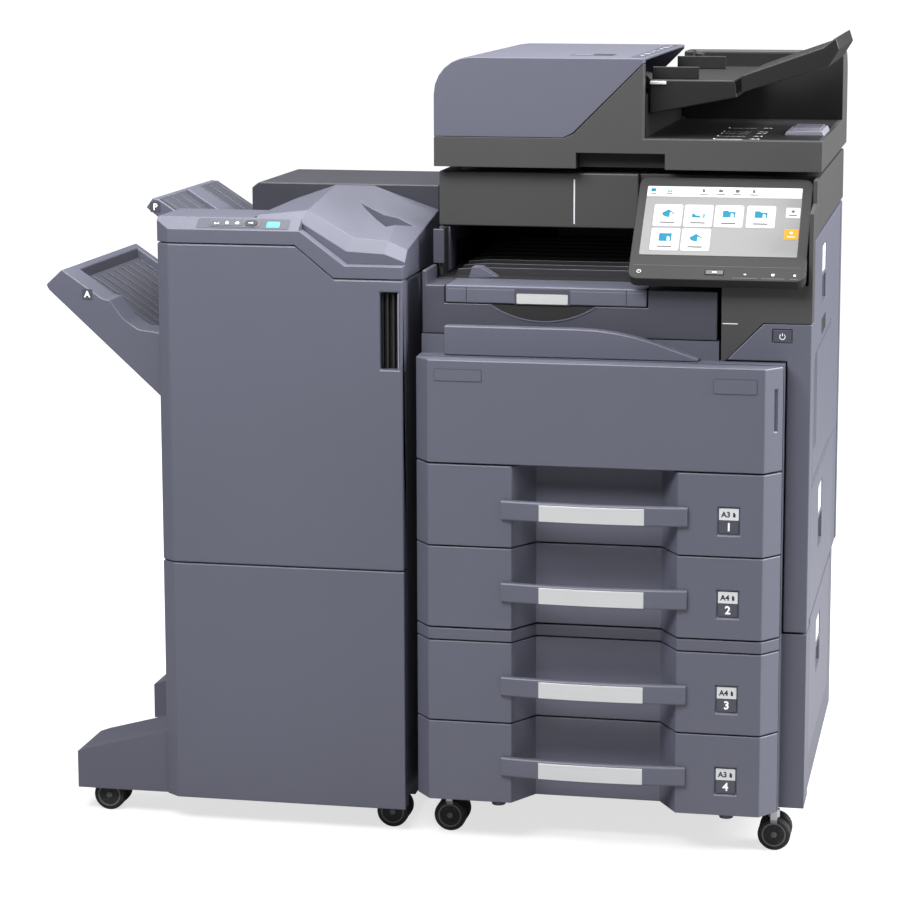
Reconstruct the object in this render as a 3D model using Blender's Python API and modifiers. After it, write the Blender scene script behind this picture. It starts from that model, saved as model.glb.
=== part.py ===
"""Floor-standing office photocopier: document processor, scanner, print engine, four paper
drawers on casters, and a finisher that a bridge unit joins to its left side.

Layout frame, in millimetres: X runs right from the main unit's left side, Y runs back from
the drawers' front plane, and Z runs up from the floor. place() turns a layout point into
world metres, with the world origin under the middle of the whole machine.
"""
import math

import bmesh
import bpy
from mathutils import Euler, Vector

MM = 0.001
GAP = 0.3                     # clearance between pieces that touch
SEAM = 1.5                    # open joint between outer panels

# Main unit
UNIT_W = 594
UNIT_BACK = 731
FEEDER_BACK = 655
CABINET_BOTTOM = 66
FEEDER_TOP = 338
BODY_TOP = 752                # deck above the front door
COLUMN_X = 558                # left side of the fixed right-hand column
COLUMN_Y = 58                 # its front face
COLUMN_BACK = 102
SKIN_X = 584.5                # bottom of the pockets that the side covers close
SIDE_X = 586                  # inner side of those covers
SCANNER_Z = (933, 1018)
SCANNER_Y = (190, 745)

# Fronts of the drawers and of the door, in plan
FRONT_W = 555
BEVEL_W = 24
BEVEL_D = 30
FLANGE_Y = 34
INNER_X = (16, 543)
RECESS_X = (152, 404)
RECESS_SLOPE = 30
RECESS_D = 50
FRONT_BACK = 64
FRAME_FRONT = 36

# Drawers, numbered from the top
DRAWER_H = 126.8
DRAWER_Z = (466.6, 339.8, 193.2, 66.4)
HANDLE_X = (137, 419)
HANDLE_Z = (43, 73)           # above the drawer's lower edge
HANDLE_BOW = 14
HANDLE_T = 12
TRAY_BACK = 590
TRAY_WALL = 3

# Document processor
DP_Y = (165, 764)
DP_Z = 1027
DP_DECK = 1073
DP_TOP = 1195
DP_RIGHT = 597
DP_MOUTH_X = 325
DP_REAR_Y = 647
COVER_R = 57                  # round upper left corner of the feed cover
COVER_BACK = 688
COVER_WALL = 4

# Control panel
PANEL_TILT = math.radians(43.6)
PANEL_X = (322, 585)
PANEL_LEN = 200
PANEL_T = 18
PANEL_FOOT = (25, 878)        # Y, Z of the lower front edge
PANEL_PIVOT = (154, 966)

# Finisher
FIN_X = (-406, -18)
FIN_Y = (20, 546)
FIN_BEVEL = (21, 15)
FIN_BOTTOM = 39
FIN_SPLIT = 417.5
FIN_DOOR_T = 26
FIN_LIP = (868, 917, 938, 955)
FIN_DIAG = (-185, -125)

# Print engine: name, X, Z, radius, Y of the front end
ROLLERS = (
    ("toner_bottle", 110, 676, 36, 64),
    ("drum", 392, 672, 15, 80),
    ("fuser_roller", 496, 690, 18, 80),
)
JOURNAL_R = 6
ROLLER_BACK = 540

# Bridge unit over the front door
BRIDGE_X = (3, 453)
BRIDGE_FRONT = 62
BRIDGE_Z = (782, 829)
BULGE_X = (41, 427)

# Output tray of the finisher
MAIN_TRAY_Y = (75, 445)
MAIN_TRAY_TIP = -601
MAIN_TRAY_ROOT = -409

# Wheels: X and Y of each
FIN_WHEELS = ((-46, 74), (-509, 74), (-46, 494), (-509, 494))
CASTERS = ((46, 52), (550, 52), (46, 596), (550, 596))
LEVELLERS = ((118, 79), (474, 79))
WHEEL_R = 25
WHEEL_W = 46
WHEEL_GAP = 14
CASTER_TRAIL = 22

TRAY_EXT_TIP = 617            # right end of the raised document tray
ORIGIN_X = (MAIN_TRAY_TIP + TRAY_EXT_TIP) / 2
ORIGIN_Y = (DP_Y[1] - HANDLE_BOW) / 2

LAVENDER = (0.155, 0.155, 0.20)
DARK = (0.055, 0.053, 0.052)
BLACK = (0.012, 0.012, 0.013)
STEEL = (0.45, 0.46, 0.47)
PALE = (0.62, 0.62, 0.66)

parts = bpy.data.collections.new("photocopier")
cutters = bpy.data.collections.new("cutters")
materials = {}


# ---------------------------------------------------------------- helpers
def clear_scene():
    for obj in list(bpy.data.objects):
        bpy.data.objects.remove(obj, do_unlink=True)
    for collection in (parts, cutters):
        bpy.context.scene.collection.children.link(collection)


def place(x, y, z):
    return Vector(((x - ORIGIN_X) * MM, (y - ORIGIN_Y) * MM, z * MM))


def paint(obj, colour, roughness=0.5, metallic=0.0):
    key = (colour, roughness, metallic)
    if key not in materials:
        material = bpy.data.materials.new(f"finish_{len(materials) + 1}")
        material.use_nodes = True
        shader = material.node_tree.nodes["Principled BSDF"]
        shader.inputs["Base Color"].default_value = (*colour, 1)
        shader.inputs["Roughness"].default_value = roughness
        shader.inputs["Metallic"].default_value = metallic
        material.diffuse_color = (*colour, 1)
        materials[key] = material
    obj.data.materials.append(materials[key])


def new_piece(name, mesh, colour=None, roughness=0.5, metallic=0.0):
    """A named sub-part, or a cutter when no colour is given."""
    obj = bpy.data.objects.new(name, mesh)
    if colour is None:
        cutters.objects.link(obj)
        obj.hide_render = True
        obj.display_type = "WIRE"
    else:
        parts.objects.link(obj)
        paint(obj, colour, roughness, metallic)
    return obj


def box(name, x, y, z, *finish):
    """Block between two layout values on each axis."""
    mesh = bpy.data.meshes.new(name)
    bm = bmesh.new()
    bmesh.ops.create_cube(bm, size=1)
    low = place(x[0], y[0], z[0])
    high = place(x[1], y[1], z[1])
    bmesh.ops.scale(bm, vec=high - low, verts=bm.verts)
    bmesh.ops.translate(bm, vec=(low + high) / 2, verts=bm.verts)
    bm.to_mesh(mesh)
    bm.free()
    return new_piece(name, mesh, *finish)


def to_layout(axis, u, v, w):
    """Layout point of outline point (u, v) at w along the extrusion axis."""
    return {"X": (w, u, v), "Y": (u, w, v), "Z": (u, v, w)}[axis]


def prism(name, outline, axis, span, *finish):
    """Flat outline, filled and extruded along a layout axis between two values."""
    curve = bpy.data.curves.new(name + "_outline", "CURVE")
    curve.dimensions = "2D"
    curve.fill_mode = "BOTH"
    curve.extrude = (span[1] - span[0]) / 2
    spline = curve.splines.new("POLY")
    spline.points.add(len(outline) - 1)
    for point, (u, v) in zip(spline.points, outline):
        point.co = (u, v, 0, 1)
    spline.use_cyclic_u = True
    carrier = bpy.data.objects.new(name + "_outline", curve)
    bpy.context.scene.collection.objects.link(carrier)
    evaluated = carrier.evaluated_get(bpy.context.evaluated_depsgraph_get())
    mesh = bpy.data.meshes.new_from_object(evaluated)
    bpy.data.objects.remove(carrier, do_unlink=True)
    middle = (span[0] + span[1]) / 2
    for vertex in mesh.vertices:
        u, v, w = vertex.co
        vertex.co = place(*to_layout(axis, u, v, middle + w))
    mesh.materials.clear()
    close_mesh(mesh)
    return new_piece(name, mesh, *finish)


def close_mesh(mesh):
    """Weld the caps and point every face outwards."""
    bm = bmesh.new()
    bm.from_mesh(mesh)
    bmesh.ops.remove_doubles(bm, verts=bm.verts, dist=0.00001)
    bmesh.ops.recalc_face_normals(bm, faces=bm.faces)
    bm.to_mesh(mesh)
    bm.free()


def rod(name, radius, axis, centre, span, sides, *finish):
    """Cylinder along a layout axis; centre holds the other two layout values."""
    mesh = bpy.data.meshes.new(name)
    bm = bmesh.new()
    length = (span[1] - span[0]) * MM
    bmesh.ops.create_cone(bm, cap_ends=True, segments=sides, radius1=radius * MM,
                          radius2=radius * MM, depth=length)
    turn = {"X": (0, math.pi / 2, 0), "Y": (math.pi / 2, 0, 0), "Z": (0, 0, 0)}[axis]
    middle = (span[0] + span[1]) / 2
    bmesh.ops.rotate(bm, matrix=Euler(turn).to_matrix(), verts=bm.verts)
    bmesh.ops.translate(bm, vec=place(*to_layout(axis, *centre, middle)), verts=bm.verts)
    bm.to_mesh(mesh)
    bm.free()
    return new_piece(name, mesh, *finish)


def arc(centre, radius, start, end, steps):
    """Points of a circular arc, angles in degrees."""
    points = []
    for i in range(steps + 1):
        angle = math.radians(start + (end - start) * i / steps)
        points.append((centre[0] + radius * math.cos(angle),
                       centre[1] + radius * math.sin(angle)))
    return points


def combine(piece, operation, others):
    for other in others:
        modifier = piece.modifiers.new(other.name, "BOOLEAN")
        modifier.operation = operation
        modifier.solver = "EXACT"
        modifier.object = other


def cut(piece, *others):
    combine(piece, "DIFFERENCE", others)


def fuse(piece, *others):
    combine(piece, "UNION", others)


def pivot_at(obj, point):
    """Move an object's origin to a layout point, leaving its shape where it is."""
    origin = place(*point)
    for vertex in obj.data.vertices:
        vertex.co -= origin
    obj.location = origin


# ---------------------------------------------------------------- fronts and drawers
def front_plan(recessed, back):
    """Plan of a front: bevelled ends, an optional hand recess, and a flange behind."""
    outline = [(0, FLANGE_Y), (0, BEVEL_D), (BEVEL_W, 0)]
    if recessed:
        outline += [(RECESS_X[0], 0), (RECESS_X[0] + RECESS_SLOPE, RECESS_D),
                    (RECESS_X[1] - RECESS_SLOPE, RECESS_D), (RECESS_X[1], 0)]
    outline += [(FRONT_W - BEVEL_W, 0), (FRONT_W, BEVEL_D), (FRONT_W, FLANGE_Y)]
    if back > FLANGE_Y:
        outline += [(INNER_X[1], FLANGE_Y), (INNER_X[1], back),
                    (INNER_X[0], back), (INNER_X[0], FLANGE_Y)]
    return outline


def bow(inset):
    """Front line of the handle: a shallow arc through its ends and its middle."""
    half = (HANDLE_X[1] - HANDLE_X[0]) / 2
    middle = (HANDLE_X[0] + HANDLE_X[1]) / 2
    rise = HANDLE_BOW
    radius = (half ** 2 + rise ** 2) / (2 * rise)
    points = []
    for i in range(9):
        x = HANDLE_X[0] + (HANDLE_X[1] - HANDLE_X[0]) * i / 8
        sag = radius - math.sqrt(radius ** 2 - (x - middle) ** 2)
        points.append((x, sag - rise + inset))
    return points


def make_drawer(number, bottom):
    top = bottom + DRAWER_H - SEAM
    bottom = bottom + SEAM / 2
    front = prism(f"drawer_{number}_front", front_plan(True, FRONT_BACK), "Z",
                  (bottom, top), LAVENDER, 0.45)
    handle_plan = bow(0) + bow(HANDLE_T)[::-1]
    handle = prism(f"handle_{number}_shape", handle_plan, "Z",
                   (bottom + HANDLE_Z[0], bottom + HANDLE_Z[1]))
    fuse(front, handle)
    window = box(f"window_{number}_cut", (462, 498), (-5, 4), (bottom + 31, bottom + 76))
    cut(front, window)
    pivot_at(front, (FRONT_W / 2, 0, bottom))
    tray = box(f"drawer_{number}_tray", (20, 539), (FRONT_BACK + GAP, TRAY_BACK),
               (bottom + 7, bottom + 104), BLACK, 0.6)
    inside = box(f"tray_{number}_inside", (20 + TRAY_WALL, 539 - TRAY_WALL),
                 (FRONT_BACK + GAP + TRAY_WALL, TRAY_BACK - TRAY_WALL),
                 (bottom + 12, bottom + 130))
    cut(tray, inside)
    pivot_at(tray, (FRONT_W / 2, 0, bottom))


def make_front_door():
    door = prism("front_door", front_plan(False, FLANGE_Y), "Z",
                 (594.4, 751), LAVENDER, 0.45)
    notch = box("door_notch_cut", (543, 560), (10, 22), (655, 718))
    cut(door, notch)
    pivot_at(door, (FRONT_W / 2, 1, 595))


# ---------------------------------------------------------------- frames and covers
def make_feeder_frame():
    """Lower cabinet that holds the two lower drawers, with its own right column."""
    frame = box("feeder_frame", (2, 592), (COLUMN_BACK, FEEDER_BACK),
                (CABINET_BOTTOM, FEEDER_TOP), LAVENDER, 0.5)
    front = box("feeder_front_block", (2, 556), (FRAME_FRONT, COLUMN_BACK + 5),
                (CABINET_BOTTOM, FEEDER_TOP))
    column = box("feeder_column_block", (COLUMN_X - 5, UNIT_W), (COLUMN_Y, COLUMN_BACK + 26),
                 (CABINET_BOTTOM, FEEDER_TOP))
    strip_z = (DRAWER_Z[2] + DRAWER_H + SEAM / 2, FEEDER_TOP)
    strip = prism("feeder_strip", front_plan(True, FRONT_BACK), "Z", strip_z)
    backing = box("strip_backing", (10, 549), (55, 70), strip_z)
    fuse(frame, front, column)
    hollows = []
    for number in (3, 4):
        low = DRAWER_Z[number - 1]
        hollows.append(box(f"feeder_hollow_{number}", (14, 545), (0, 600),
                           (low + 5, low + DRAWER_H - 4)))
    rebate = box("feeder_rebate", (14, 545), (0, FRONT_BACK + 2), (40, FEEDER_TOP + 1))
    pocket = box("feeder_side_pocket", (SKIN_X, 620), (128, 552), (126, 360))
    cut(frame, *hollows, rebate, pocket)
    fuse(frame, strip, backing)
    levellers = []
    for x, y in LEVELLERS:
        levellers.append(rod(f"leveller_{x}", 11, "Z", (x, y), (39, 70), 12))
    fuse(frame, *levellers)


def make_main_frame():
    """Welded frame of the main unit, open in front for two drawers and the engine."""
    frame = box("main_frame", (2, 556), (FRAME_FRONT, 715), (339.8, BODY_TOP), LAVENDER, 0.5)
    right = box("frame_right", (460, 592), (104, 715), (339.8, 866))
    shoulder = box("frame_shoulder", (460, 592), (190, 715), (850, 931))
    rear = box("frame_rear", (2, 592), (560, 715), (600, 931))
    deck = box("frame_deck", (2, 456), (62, 561), (700, 781))
    beam = box("frame_beam", (3, 20), (192, 565), (905, 931))
    post = box("frame_post", (3, 20), (192, 240), (862, 920))
    fuse(frame, right, shoulder, rear, deck, beam, post)
    hollows = []
    for number in (1, 2):
        low = DRAWER_Z[number - 1]
        hollows.append(box(f"frame_hollow_{number}", (14, 545), (0, 600),
                           (low + 5, low + DRAWER_H - 4)))
    rebate = box("frame_rebate", (14, 545), (0, FRONT_BACK + 2), (330, 593.4))
    bay = box("engine_bay_cut", (22, 545), (0, 560), (601, 742))
    pocket = box("frame_side_pocket", (SKIN_X, 620), (90, 691), (330, 940))
    cut(frame, *hollows, rebate, bay, pocket)
    holes = []
    for name, x, z, _, _ in ROLLERS:
        holes.append(rod(f"{name}_hole", JOURNAL_R + 0.4, "Y", (x, z), (550, 575), 12))
    cut(frame, *holes)


def make_right_covers():
    column = prism("right_column_cover",
                   [(COLUMN_X, 341), (UNIT_W, 341), (UNIT_W, 810), (522.5, 810),
                    (467, 754), (COLUMN_X, 754)],
                   "Y", (COLUMN_Y, COLUMN_BACK), LAVENDER, 0.45)
    button_hole = box("button_hole", (536, 565), (50, 67), (782, 802))
    cut(column, button_hole)
    button = box("power_button", (536.5, 564.5), (COLUMN_Y - 0.5, 63), (782.5, 801.5),
                 LAVENDER, 0.4)
    pivot_at(button, (550.5, COLUMN_Y, 792))
    upper = prism("upper_right_cover",
                  [(459.5, 752.5), (465, 752.5), (521.5, 811.2), (UNIT_W, 811.2),
                   (UNIT_W, 868), (459.5, 868)],
                  "Y", (COLUMN_Y, COLUMN_BACK), DARK, 0.45)
    slope = prism("panel_slope",
                  [(COLUMN_Y + 1, 860), (COLUMN_BACK - 1, 860), (COLUMN_BACK + 2, 868),
                   (188, 868), (188, 944), (COLUMN_Y + 1, 869)], "X", (460, SKIN_X - 1))
    cheek = prism("panel_cheek",
                  [(COLUMN_Y, 850), (COLUMN_BACK, 850), (COLUMN_BACK, 931), (188, 931),
                   (188, 1018), (121, 1018), (121, 984), (COLUMN_Y, 975)],
                  "X", (588, UNIT_W))
    fuse(upper, slope, cheek)
    for number, x in enumerate(((488, 497), (548, 557)), 1):
        lug_outline = [(142, 900), (178, 900)] + arc(PANEL_PIVOT, 6.5, 0, 180, 8)
        fuse(upper, prism(f"panel_lug_{number}", lug_outline, "X", x))


def make_side_covers():
    """Covers on the right side that swing out to clear jams, and the hand-feed tray."""
    upper = box("side_cover", (SIDE_X, UNIT_W), (104, 690), (556, 929), LAVENDER, 0.45)
    tray_bay = box("mp_tray_bay", (587.8, 610), (120, 494), (561, 759))
    grip = box("side_grip_cut", (589, 610), (266, 352), (813, 903))
    cut(upper, tray_bay, grip)
    pivot_at(upper, (592, 688, 742))
    tray = box("mp_tray", (589, UNIT_W), (122, 492), (563, 757), LAVENDER, 0.45)
    pivot_at(tray, (592.5, 307, 565.5))
    lower = box("lower_side_cover", (SIDE_X, UNIT_W), (104, 599), (350, 553), LAVENDER, 0.45)
    lower_grip = box("lower_grip_cut", (589, 610), (266, 352), (424, 522))
    cut(lower, lower_grip)
    pivot_at(lower, (592, 597, 451))
    filler = box("side_filler", (SKIN_X - 4, 592), (600.5, 692), (340, 554))
    fuse(bpy.data.objects["main_frame"], filler)
    feeder = box("feeder_side_cover", (SIDE_X, UNIT_W), (129, 551), (127, 346), LAVENDER, 0.45)
    feeder_grip = box("feeder_grip_cut", (589, 610), (266, 352), (222, 307))
    cut(feeder, feeder_grip)
    pivot_at(feeder, (592, 549, 236))


def make_rear_cover():
    cover = box("rear_cover", (0, UNIT_W), (715.5, UNIT_BACK), (341, 930), LAVENDER, 0.5)
    socket_hole = box("inlet_hole", (500, 550), (710, 740), (372, 404))
    cut(cover, socket_hole)
    inlet = box("power_inlet", (500.5, 549.5), (716, UNIT_BACK + 2), (372.5, 403.5), BLACK, 0.5)
    well = box("inlet_well", (512, 538), (719, 740), (380, 396))
    cut(inlet, well)
    pins = []
    for number, (x, z) in enumerate(((518, 385), (525, 391), (532, 385)), 1):
        pins.append(box(f"inlet_pin_{number}", (x - 1, x + 1), (717, 729), (z - 2, z + 2)))
    fuse(inlet, *pins)


# ---------------------------------------------------------------- print engine
def make_rollers():
    finishes = {"toner_bottle": (BLACK, 0.5), "drum": ((0.05, 0.2, 0.15), 0.2),
                "fuser_roller": ((0.2, 0.05, 0.03), 0.4)}
    for name, x, z, radius, front in ROLLERS:
        roller = rod(name, radius, "Y", (x, z), (front, ROLLER_BACK), 20, *finishes[name])
        journal = rod(f"{name}_journal", JOURNAL_R, "Y", (x, z), (530, 572), 12)
        fuse(roller, journal)
        pivot_at(roller, (x, 300, z))


# ---------------------------------------------------------------- bridge and output tray
def make_bridge():
    left_x, right_x = BRIDGE_X
    unit = box("bridge_unit", BRIDGE_X, (BRIDGE_FRONT, 556), BRIDGE_Z, LAVENDER, 0.45)
    left = box("bridge_left_block", (left_x, 38), (BRIDGE_FRONT, 140), (820, 856))
    fin = box("bridge_fin", (left_x, left_x + 7), (BRIDGE_FRONT, 140), (850, 878))
    right = box("bridge_right_block", (348.5, right_x), (BRIDGE_FRONT, 140), (820, 856))
    spout = box("bridge_spout", (-17.5, 10), (150, 520), (790, 825))
    fuse(unit, left, fin, right, spout)
    cover = prism("bridge_cover",
                  [(60, 830), (65, 830), (65, 852), (141, 852), (141, 857), (60, 857)],
                  "X", (39.5, 347), LAVENDER, 0.45)
    pivot_at(cover, (193, 139, 855))
    prism("output_tray", [(143, 830), (555, 830), (555, 874), (380, 868), (143, 857)],
          "X", (11, 452), BLACK, 0.5)
    bulge = [(BULGE_X[0], 752.5), (BULGE_X[1], 752.5), (BULGE_X[1], 757)]
    bulge += arc((243, 397), 400, 64.2, 90, 6)[1:]
    bulge.append((BULGE_X[0], 797))
    prism("toner_cover", bulge, "Y", (40, 61.4), LAVENDER, 0.45)


# ---------------------------------------------------------------- scanner
def make_scanner():
    housing = box("scanner_housing", (3, 594), SCANNER_Y, SCANNER_Z, DARK, 0.45)
    well = box("scan_well", (34, 560), (229, 696), (950, 1030))
    rebate = box("glass_rebate", (26, 568), (221, 704), (1012.5, 1030))
    relief = box("panel_relief", (316, 587.5), (170, 204), (962, 1030))
    cut(housing, well, rebate, relief)
    box("platen_glass", (26.5, 567.5), (221.5, 703.5), (1012.8, 1017), PALE, 0.05)
    carriage = box("scan_carriage", (60, 112), (236, 689), (962, 1006), BLACK, 0.5)
    pivot_at(carriage, (86, 462, 984))


# ---------------------------------------------------------------- document processor
def make_dp_base():
    base = box("dp_base", (0, DP_RIGHT), (DP_Y[0], DP_Y[1]), (DP_Z, DP_DECK), DARK, 0.45)
    front_wall = prism("dp_front_wall",
                       [(150, DP_Z + 5), (DP_RIGHT, DP_Z + 5), (DP_RIGHT, DP_DECK),
                        (DP_MOUTH_X, DP_DECK), (DP_MOUTH_X, 1187), (218, 1080),
                        (203, DP_DECK), (150, DP_DECK)],
                       "Y", (DP_Y[0], 190))
    feed_block = box("dp_feed_block", (8, 318), (194, 660), (DP_DECK - 4, 1112))
    rear = prism("dp_rear_block",
                 [(DP_REAR_Y, DP_Z + 5), (DP_Y[1], DP_Z + 5), (DP_Y[1], 1140)]
                 + arc((DP_Y[1] - 46, 1140), 46, 0, 90, 5)[1:] + [(DP_REAR_Y, 1186)],
                 "X", (332, DP_RIGHT))
    rear_left = box("dp_rear_left", (8, 340), (690, DP_Y[1]), (DP_Z + 5, 1150))
    fuse(base, front_wall, feed_block, rear, rear_left)
    handle = box("dp_handle_cut", (222, 359), (150, 196), (1020, 1051))
    journal_hole = rod("pickup_hole", 5.4, "Y", (296, 1146), (640, 700), 12)
    cut(base, handle, journal_hole)
    pivot_at(base, (297, 752, 1030))


def make_feed_cover():
    """Shell over the feed rollers: a large round corner at the left, a slanted lower edge."""
    bottom = DP_DECK + 0.5
    corner = (COVER_R, DP_TOP - COVER_R)
    outline = [(0, bottom)] + arc(corner, COVER_R, 180, 90, 6)
    outline += [(DP_MOUTH_X, DP_TOP), (DP_MOUTH_X, 1188.5), (217, 1081), (202, bottom)]
    cover = prism("dp_feed_cover", outline, "Y", (DP_Y[0], COVER_BACK), LAVENDER, 0.4)
    inner_arc = arc(corner, COVER_R - COVER_WALL, 180, 90, 5)
    inside = [(COVER_WALL, 1060)] + inner_arc + [(340, DP_TOP - COVER_WALL), (340, 1060)]
    hollow = prism("cover_hollow", inside, "Y", (193, COVER_BACK - COVER_WALL))
    cut(cover, hollow)
    pivot_at(cover, (0.8, 426, 1074.3))


def make_document_tray():
    prism("document_tray", [(328, 1161), (459, 1161), (463, 1135), (328, 1108)],
          "Y", (213, 646), DARK, 0.5)
    extension = prism("tray_extension",
                      [(469, 1168), (476, 1171), (592, 1212), (611, 1227), (TRAY_EXT_TIP, 1209),
                       (601, 1183), (482, 1146), (469, 1141)],
                      "Y", (213, 560), DARK, 0.5)
    pivot_at(extension, (467, 390, 1150))
    front = box("guide_front", (330, 402), (232, 237), (1161.3, 1180), DARK, 0.5)
    pivot_at(front, (366, 232, 1170))
    rear = box("guide_rear", (330, 410), (548, 553), (1161.3, 1182), DARK, 0.5)
    pivot_at(rear, (370, 548, 1170))
    roller = rod("pickup_roller", 16, "Y", (296, 1146), (360, 430), 16, BLACK, 0.8)
    shaft = rod("pickup_shaft", 5, "Y", (296, 1146), (350, 700), 10)
    fuse(roller, shaft)
    pivot_at(roller, (296, 390, 1146))


# ---------------------------------------------------------------- control panel
def make_panel():
    """Tilting touch panel, drawn flat with Z = 0 on its screen face and then tilted."""
    y0, z0 = PANEL_FOOT
    radius = 14
    x0, x1 = PANEL_X
    outline = []
    for cx, cy, start in ((x0 + radius, radius, 180), (x1 - radius, radius, 270),
                          (x1 - radius, PANEL_LEN - radius, 0),
                          (x0 + radius, PANEL_LEN - radius, 90)):
        outline += arc((cx, cy), radius, start, start + 90, 4)
    panel = prism("touch_panel", outline, "Z", (-PANEL_T, 0), DARK, 0.4)
    key_hole = box("home_key_hole", (437, 464), (10, 19), (-4.5, 5))
    cut(panel, key_hole)
    tilt_about_foot(panel)
    tilt_about_foot(key_hole)
    boss = rod("panel_boss", 9, "X", PANEL_PIVOT, (499, 546), 14)
    fuse(panel, boss)
    pivot_at(panel, (453, *PANEL_PIVOT))
    key = box("home_key", (437.5, 463.5), (10.5, 18.5), (-2.7, 0.8), DARK, 0.4)
    tilt_about_foot(key)
    along = 14.5
    pivot_at(key, (450.5, y0 + along * math.cos(PANEL_TILT), z0 + along * math.sin(PANEL_TILT)))


def tilt_about_foot(obj):
    """Turn a piece drawn in the panel's own plane up about the panel's lower edge."""
    y0, z0 = PANEL_FOOT
    shift = place(0, 0, 0)
    foot = place(0, y0, z0)
    turn = Euler((PANEL_TILT, 0, 0)).to_matrix()
    for vertex in obj.data.vertices:
        local = vertex.co - shift
        turned = turn @ Vector((0, local.y, local.z))
        vertex.co = Vector((vertex.co.x, foot.y + turned.y, foot.z + turned.z))


# ---------------------------------------------------------------- finisher
def fin_plan(back):
    left, right = FIN_X
    front = FIN_Y[0]
    return [(left, back), (left, front + FIN_BEVEL[1]), (left + FIN_BEVEL[0], front),
            (right, front), (right, back)]


def make_finisher_cabinet():
    inner = (FIN_X[0] + 2, FIN_X[1] - 2)
    cabinet = box("finisher_cabinet", inner, (48, FIN_Y[1]), (FIN_BOTTOM, 862), LAVENDER, 0.5)
    tops = [box("fin_top_left", (inner[0], -257), (48, 157), (850, 914)),
            box("fin_top_mid", (-338, -257), (100, 299), (850, 914)),
            box("fin_top_rear", (-338, inner[1]), (299, FIN_Y[1]), (850, 904)),
            box("fin_top_corner", (inner[0], -330), (494, FIN_Y[1]), (850, 914))]
    fuse(cabinet, *tops)
    bay = box("stapler_bay_cut", (-380, -60), (0, 140), (440, 840))
    cut(cabinet, bay)
    feet = []
    for number, y in enumerate(((40, 152), (434, 546)), 1):
        feet.append(make_foot(number, y))
    fuse(cabinet, *feet)
    cut(cabinet, box("foot_relief", (FIN_X[0] - 1, FIN_X[0] + 30), (0, 47), (20, 200)))
    for number, (x, y) in enumerate(FIN_WHEELS, 1):
        well = box(f"wheel_well_{number}", (x - 29, x + 29), (y - 26, y + 26), (20, 53))
        cut(cabinet, well)
    for number, (x, y) in enumerate(FIN_WHEELS, 1):
        outline = [(x - 11, 56), (x - 9, 25)] + arc((x, 25), 9, 180, 360, 6)[1:] + [(x + 11, 56)]
        web = prism(f"fin_web_{number}", outline, "Y", (y - 5, y + 5))
        fuse(cabinet, web)
    for number, (x, y) in enumerate(FIN_WHEELS, 1):
        cut(cabinet, rod(f"fin_axle_hole_{number}", 4.4, "Y", (x, 25), (y - 8, y + 8), 10))


def make_foot(number, y):
    """Leg that sticks out under the main tray; its top slopes up to the cabinet."""
    front = [(-556, FIN_BOTTOM), (FIN_X[0] + 10, FIN_BOTTOM), (FIN_X[0] + 10, 143),
             (-540, 104), (-556, 98)]
    return prism(f"foot_{number}", front, "Y", y)


def make_finisher_panels():
    door = prism("finisher_door", fin_plan(FIN_Y[0] + FIN_DOOR_T), "Z",
                 (FIN_SPLIT + SEAM / 2, FIN_LIP[1] - SEAM), LAVENDER, 0.45)
    corner = prism("door_corner_cut",
                   [(FIN_DIAG[0], FIN_LIP[1] - SEAM), (FIN_DIAG[1], FIN_LIP[0] - SEAM),
                    (FIN_X[1] + 20, FIN_LIP[0] - SEAM), (FIN_X[1] + 20, 940),
                    (FIN_DIAG[0], 940)], "Y", (0, 60))
    grip = box("door_grip_cut", (-53, -24), (0, 42), (730, 848))
    edge = box("door_edge_cut", (-25, 0), (24, 60), (604, 723))
    cut(door, corner, grip, edge)
    pivot_at(door, (FIN_X[0] + 6, FIN_Y[0] + 13, 660))
    prism("finisher_lower_panel", fin_plan(FIN_Y[0] + FIN_DOOR_T), "Z",
          (FIN_BOTTOM, FIN_SPLIT - SEAM / 2), LAVENDER, 0.45)


def make_finisher_top():
    """Stepped top cover with the button strip, and the hinged jam cover beside it."""
    low, high, brow, top = FIN_LIP
    left, right = FIN_X
    band = [(left, high), (FIN_DIAG[0], high), (FIN_DIAG[1], low), (right, low),
            (right, low + 19), (FIN_DIAG[1] + 17, low + 19), (FIN_DIAG[0] + 8, brow),
            (left, brow)]
    cover = prism("finisher_top_cover", band, "Y", (FIN_Y[0], 44), LAVENDER, 0.45)
    deck = prism("top_deck", [(FIN_Y[0], brow - 10), (FIN_Y[0], brow), (42, top), (157, top),
                              (157, high), (36, high)], "X", (left, -257))
    brow_piece = prism("top_brow", [(FIN_Y[0], brow - 10), (FIN_Y[0], brow), (42, top),
                                    (44, top), (44, brow - 10)],
                       "X", (-260, FIN_DIAG[0] + 6))
    fuse(cover, deck, brow_piece)
    chamfer = prism("top_chamfer", [(left - 20, FIN_Y[0] - 20), (left - 20, FIN_Y[0] + 29.3),
                                    (left + 49, FIN_Y[0] - 20)], "Z", (900, 960))
    cut(cover, chamfer)
    button_well = box("start_button_well", (-232, -209), (24, 36), (936, 960))
    cut(cover, button_well)
    make_start_button()


def make_start_button():
    button = prism("finisher_start_button",
                   [(24.5, 939.5), (35.5, 939.5), (35.5, 951), (24.5, 943.5)],
                   "X", (-231.5, -209.5), (0.0, 0.45, 0.5), 0.4)
    pivot_at(button, (-220.5, 30, 944))


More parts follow.
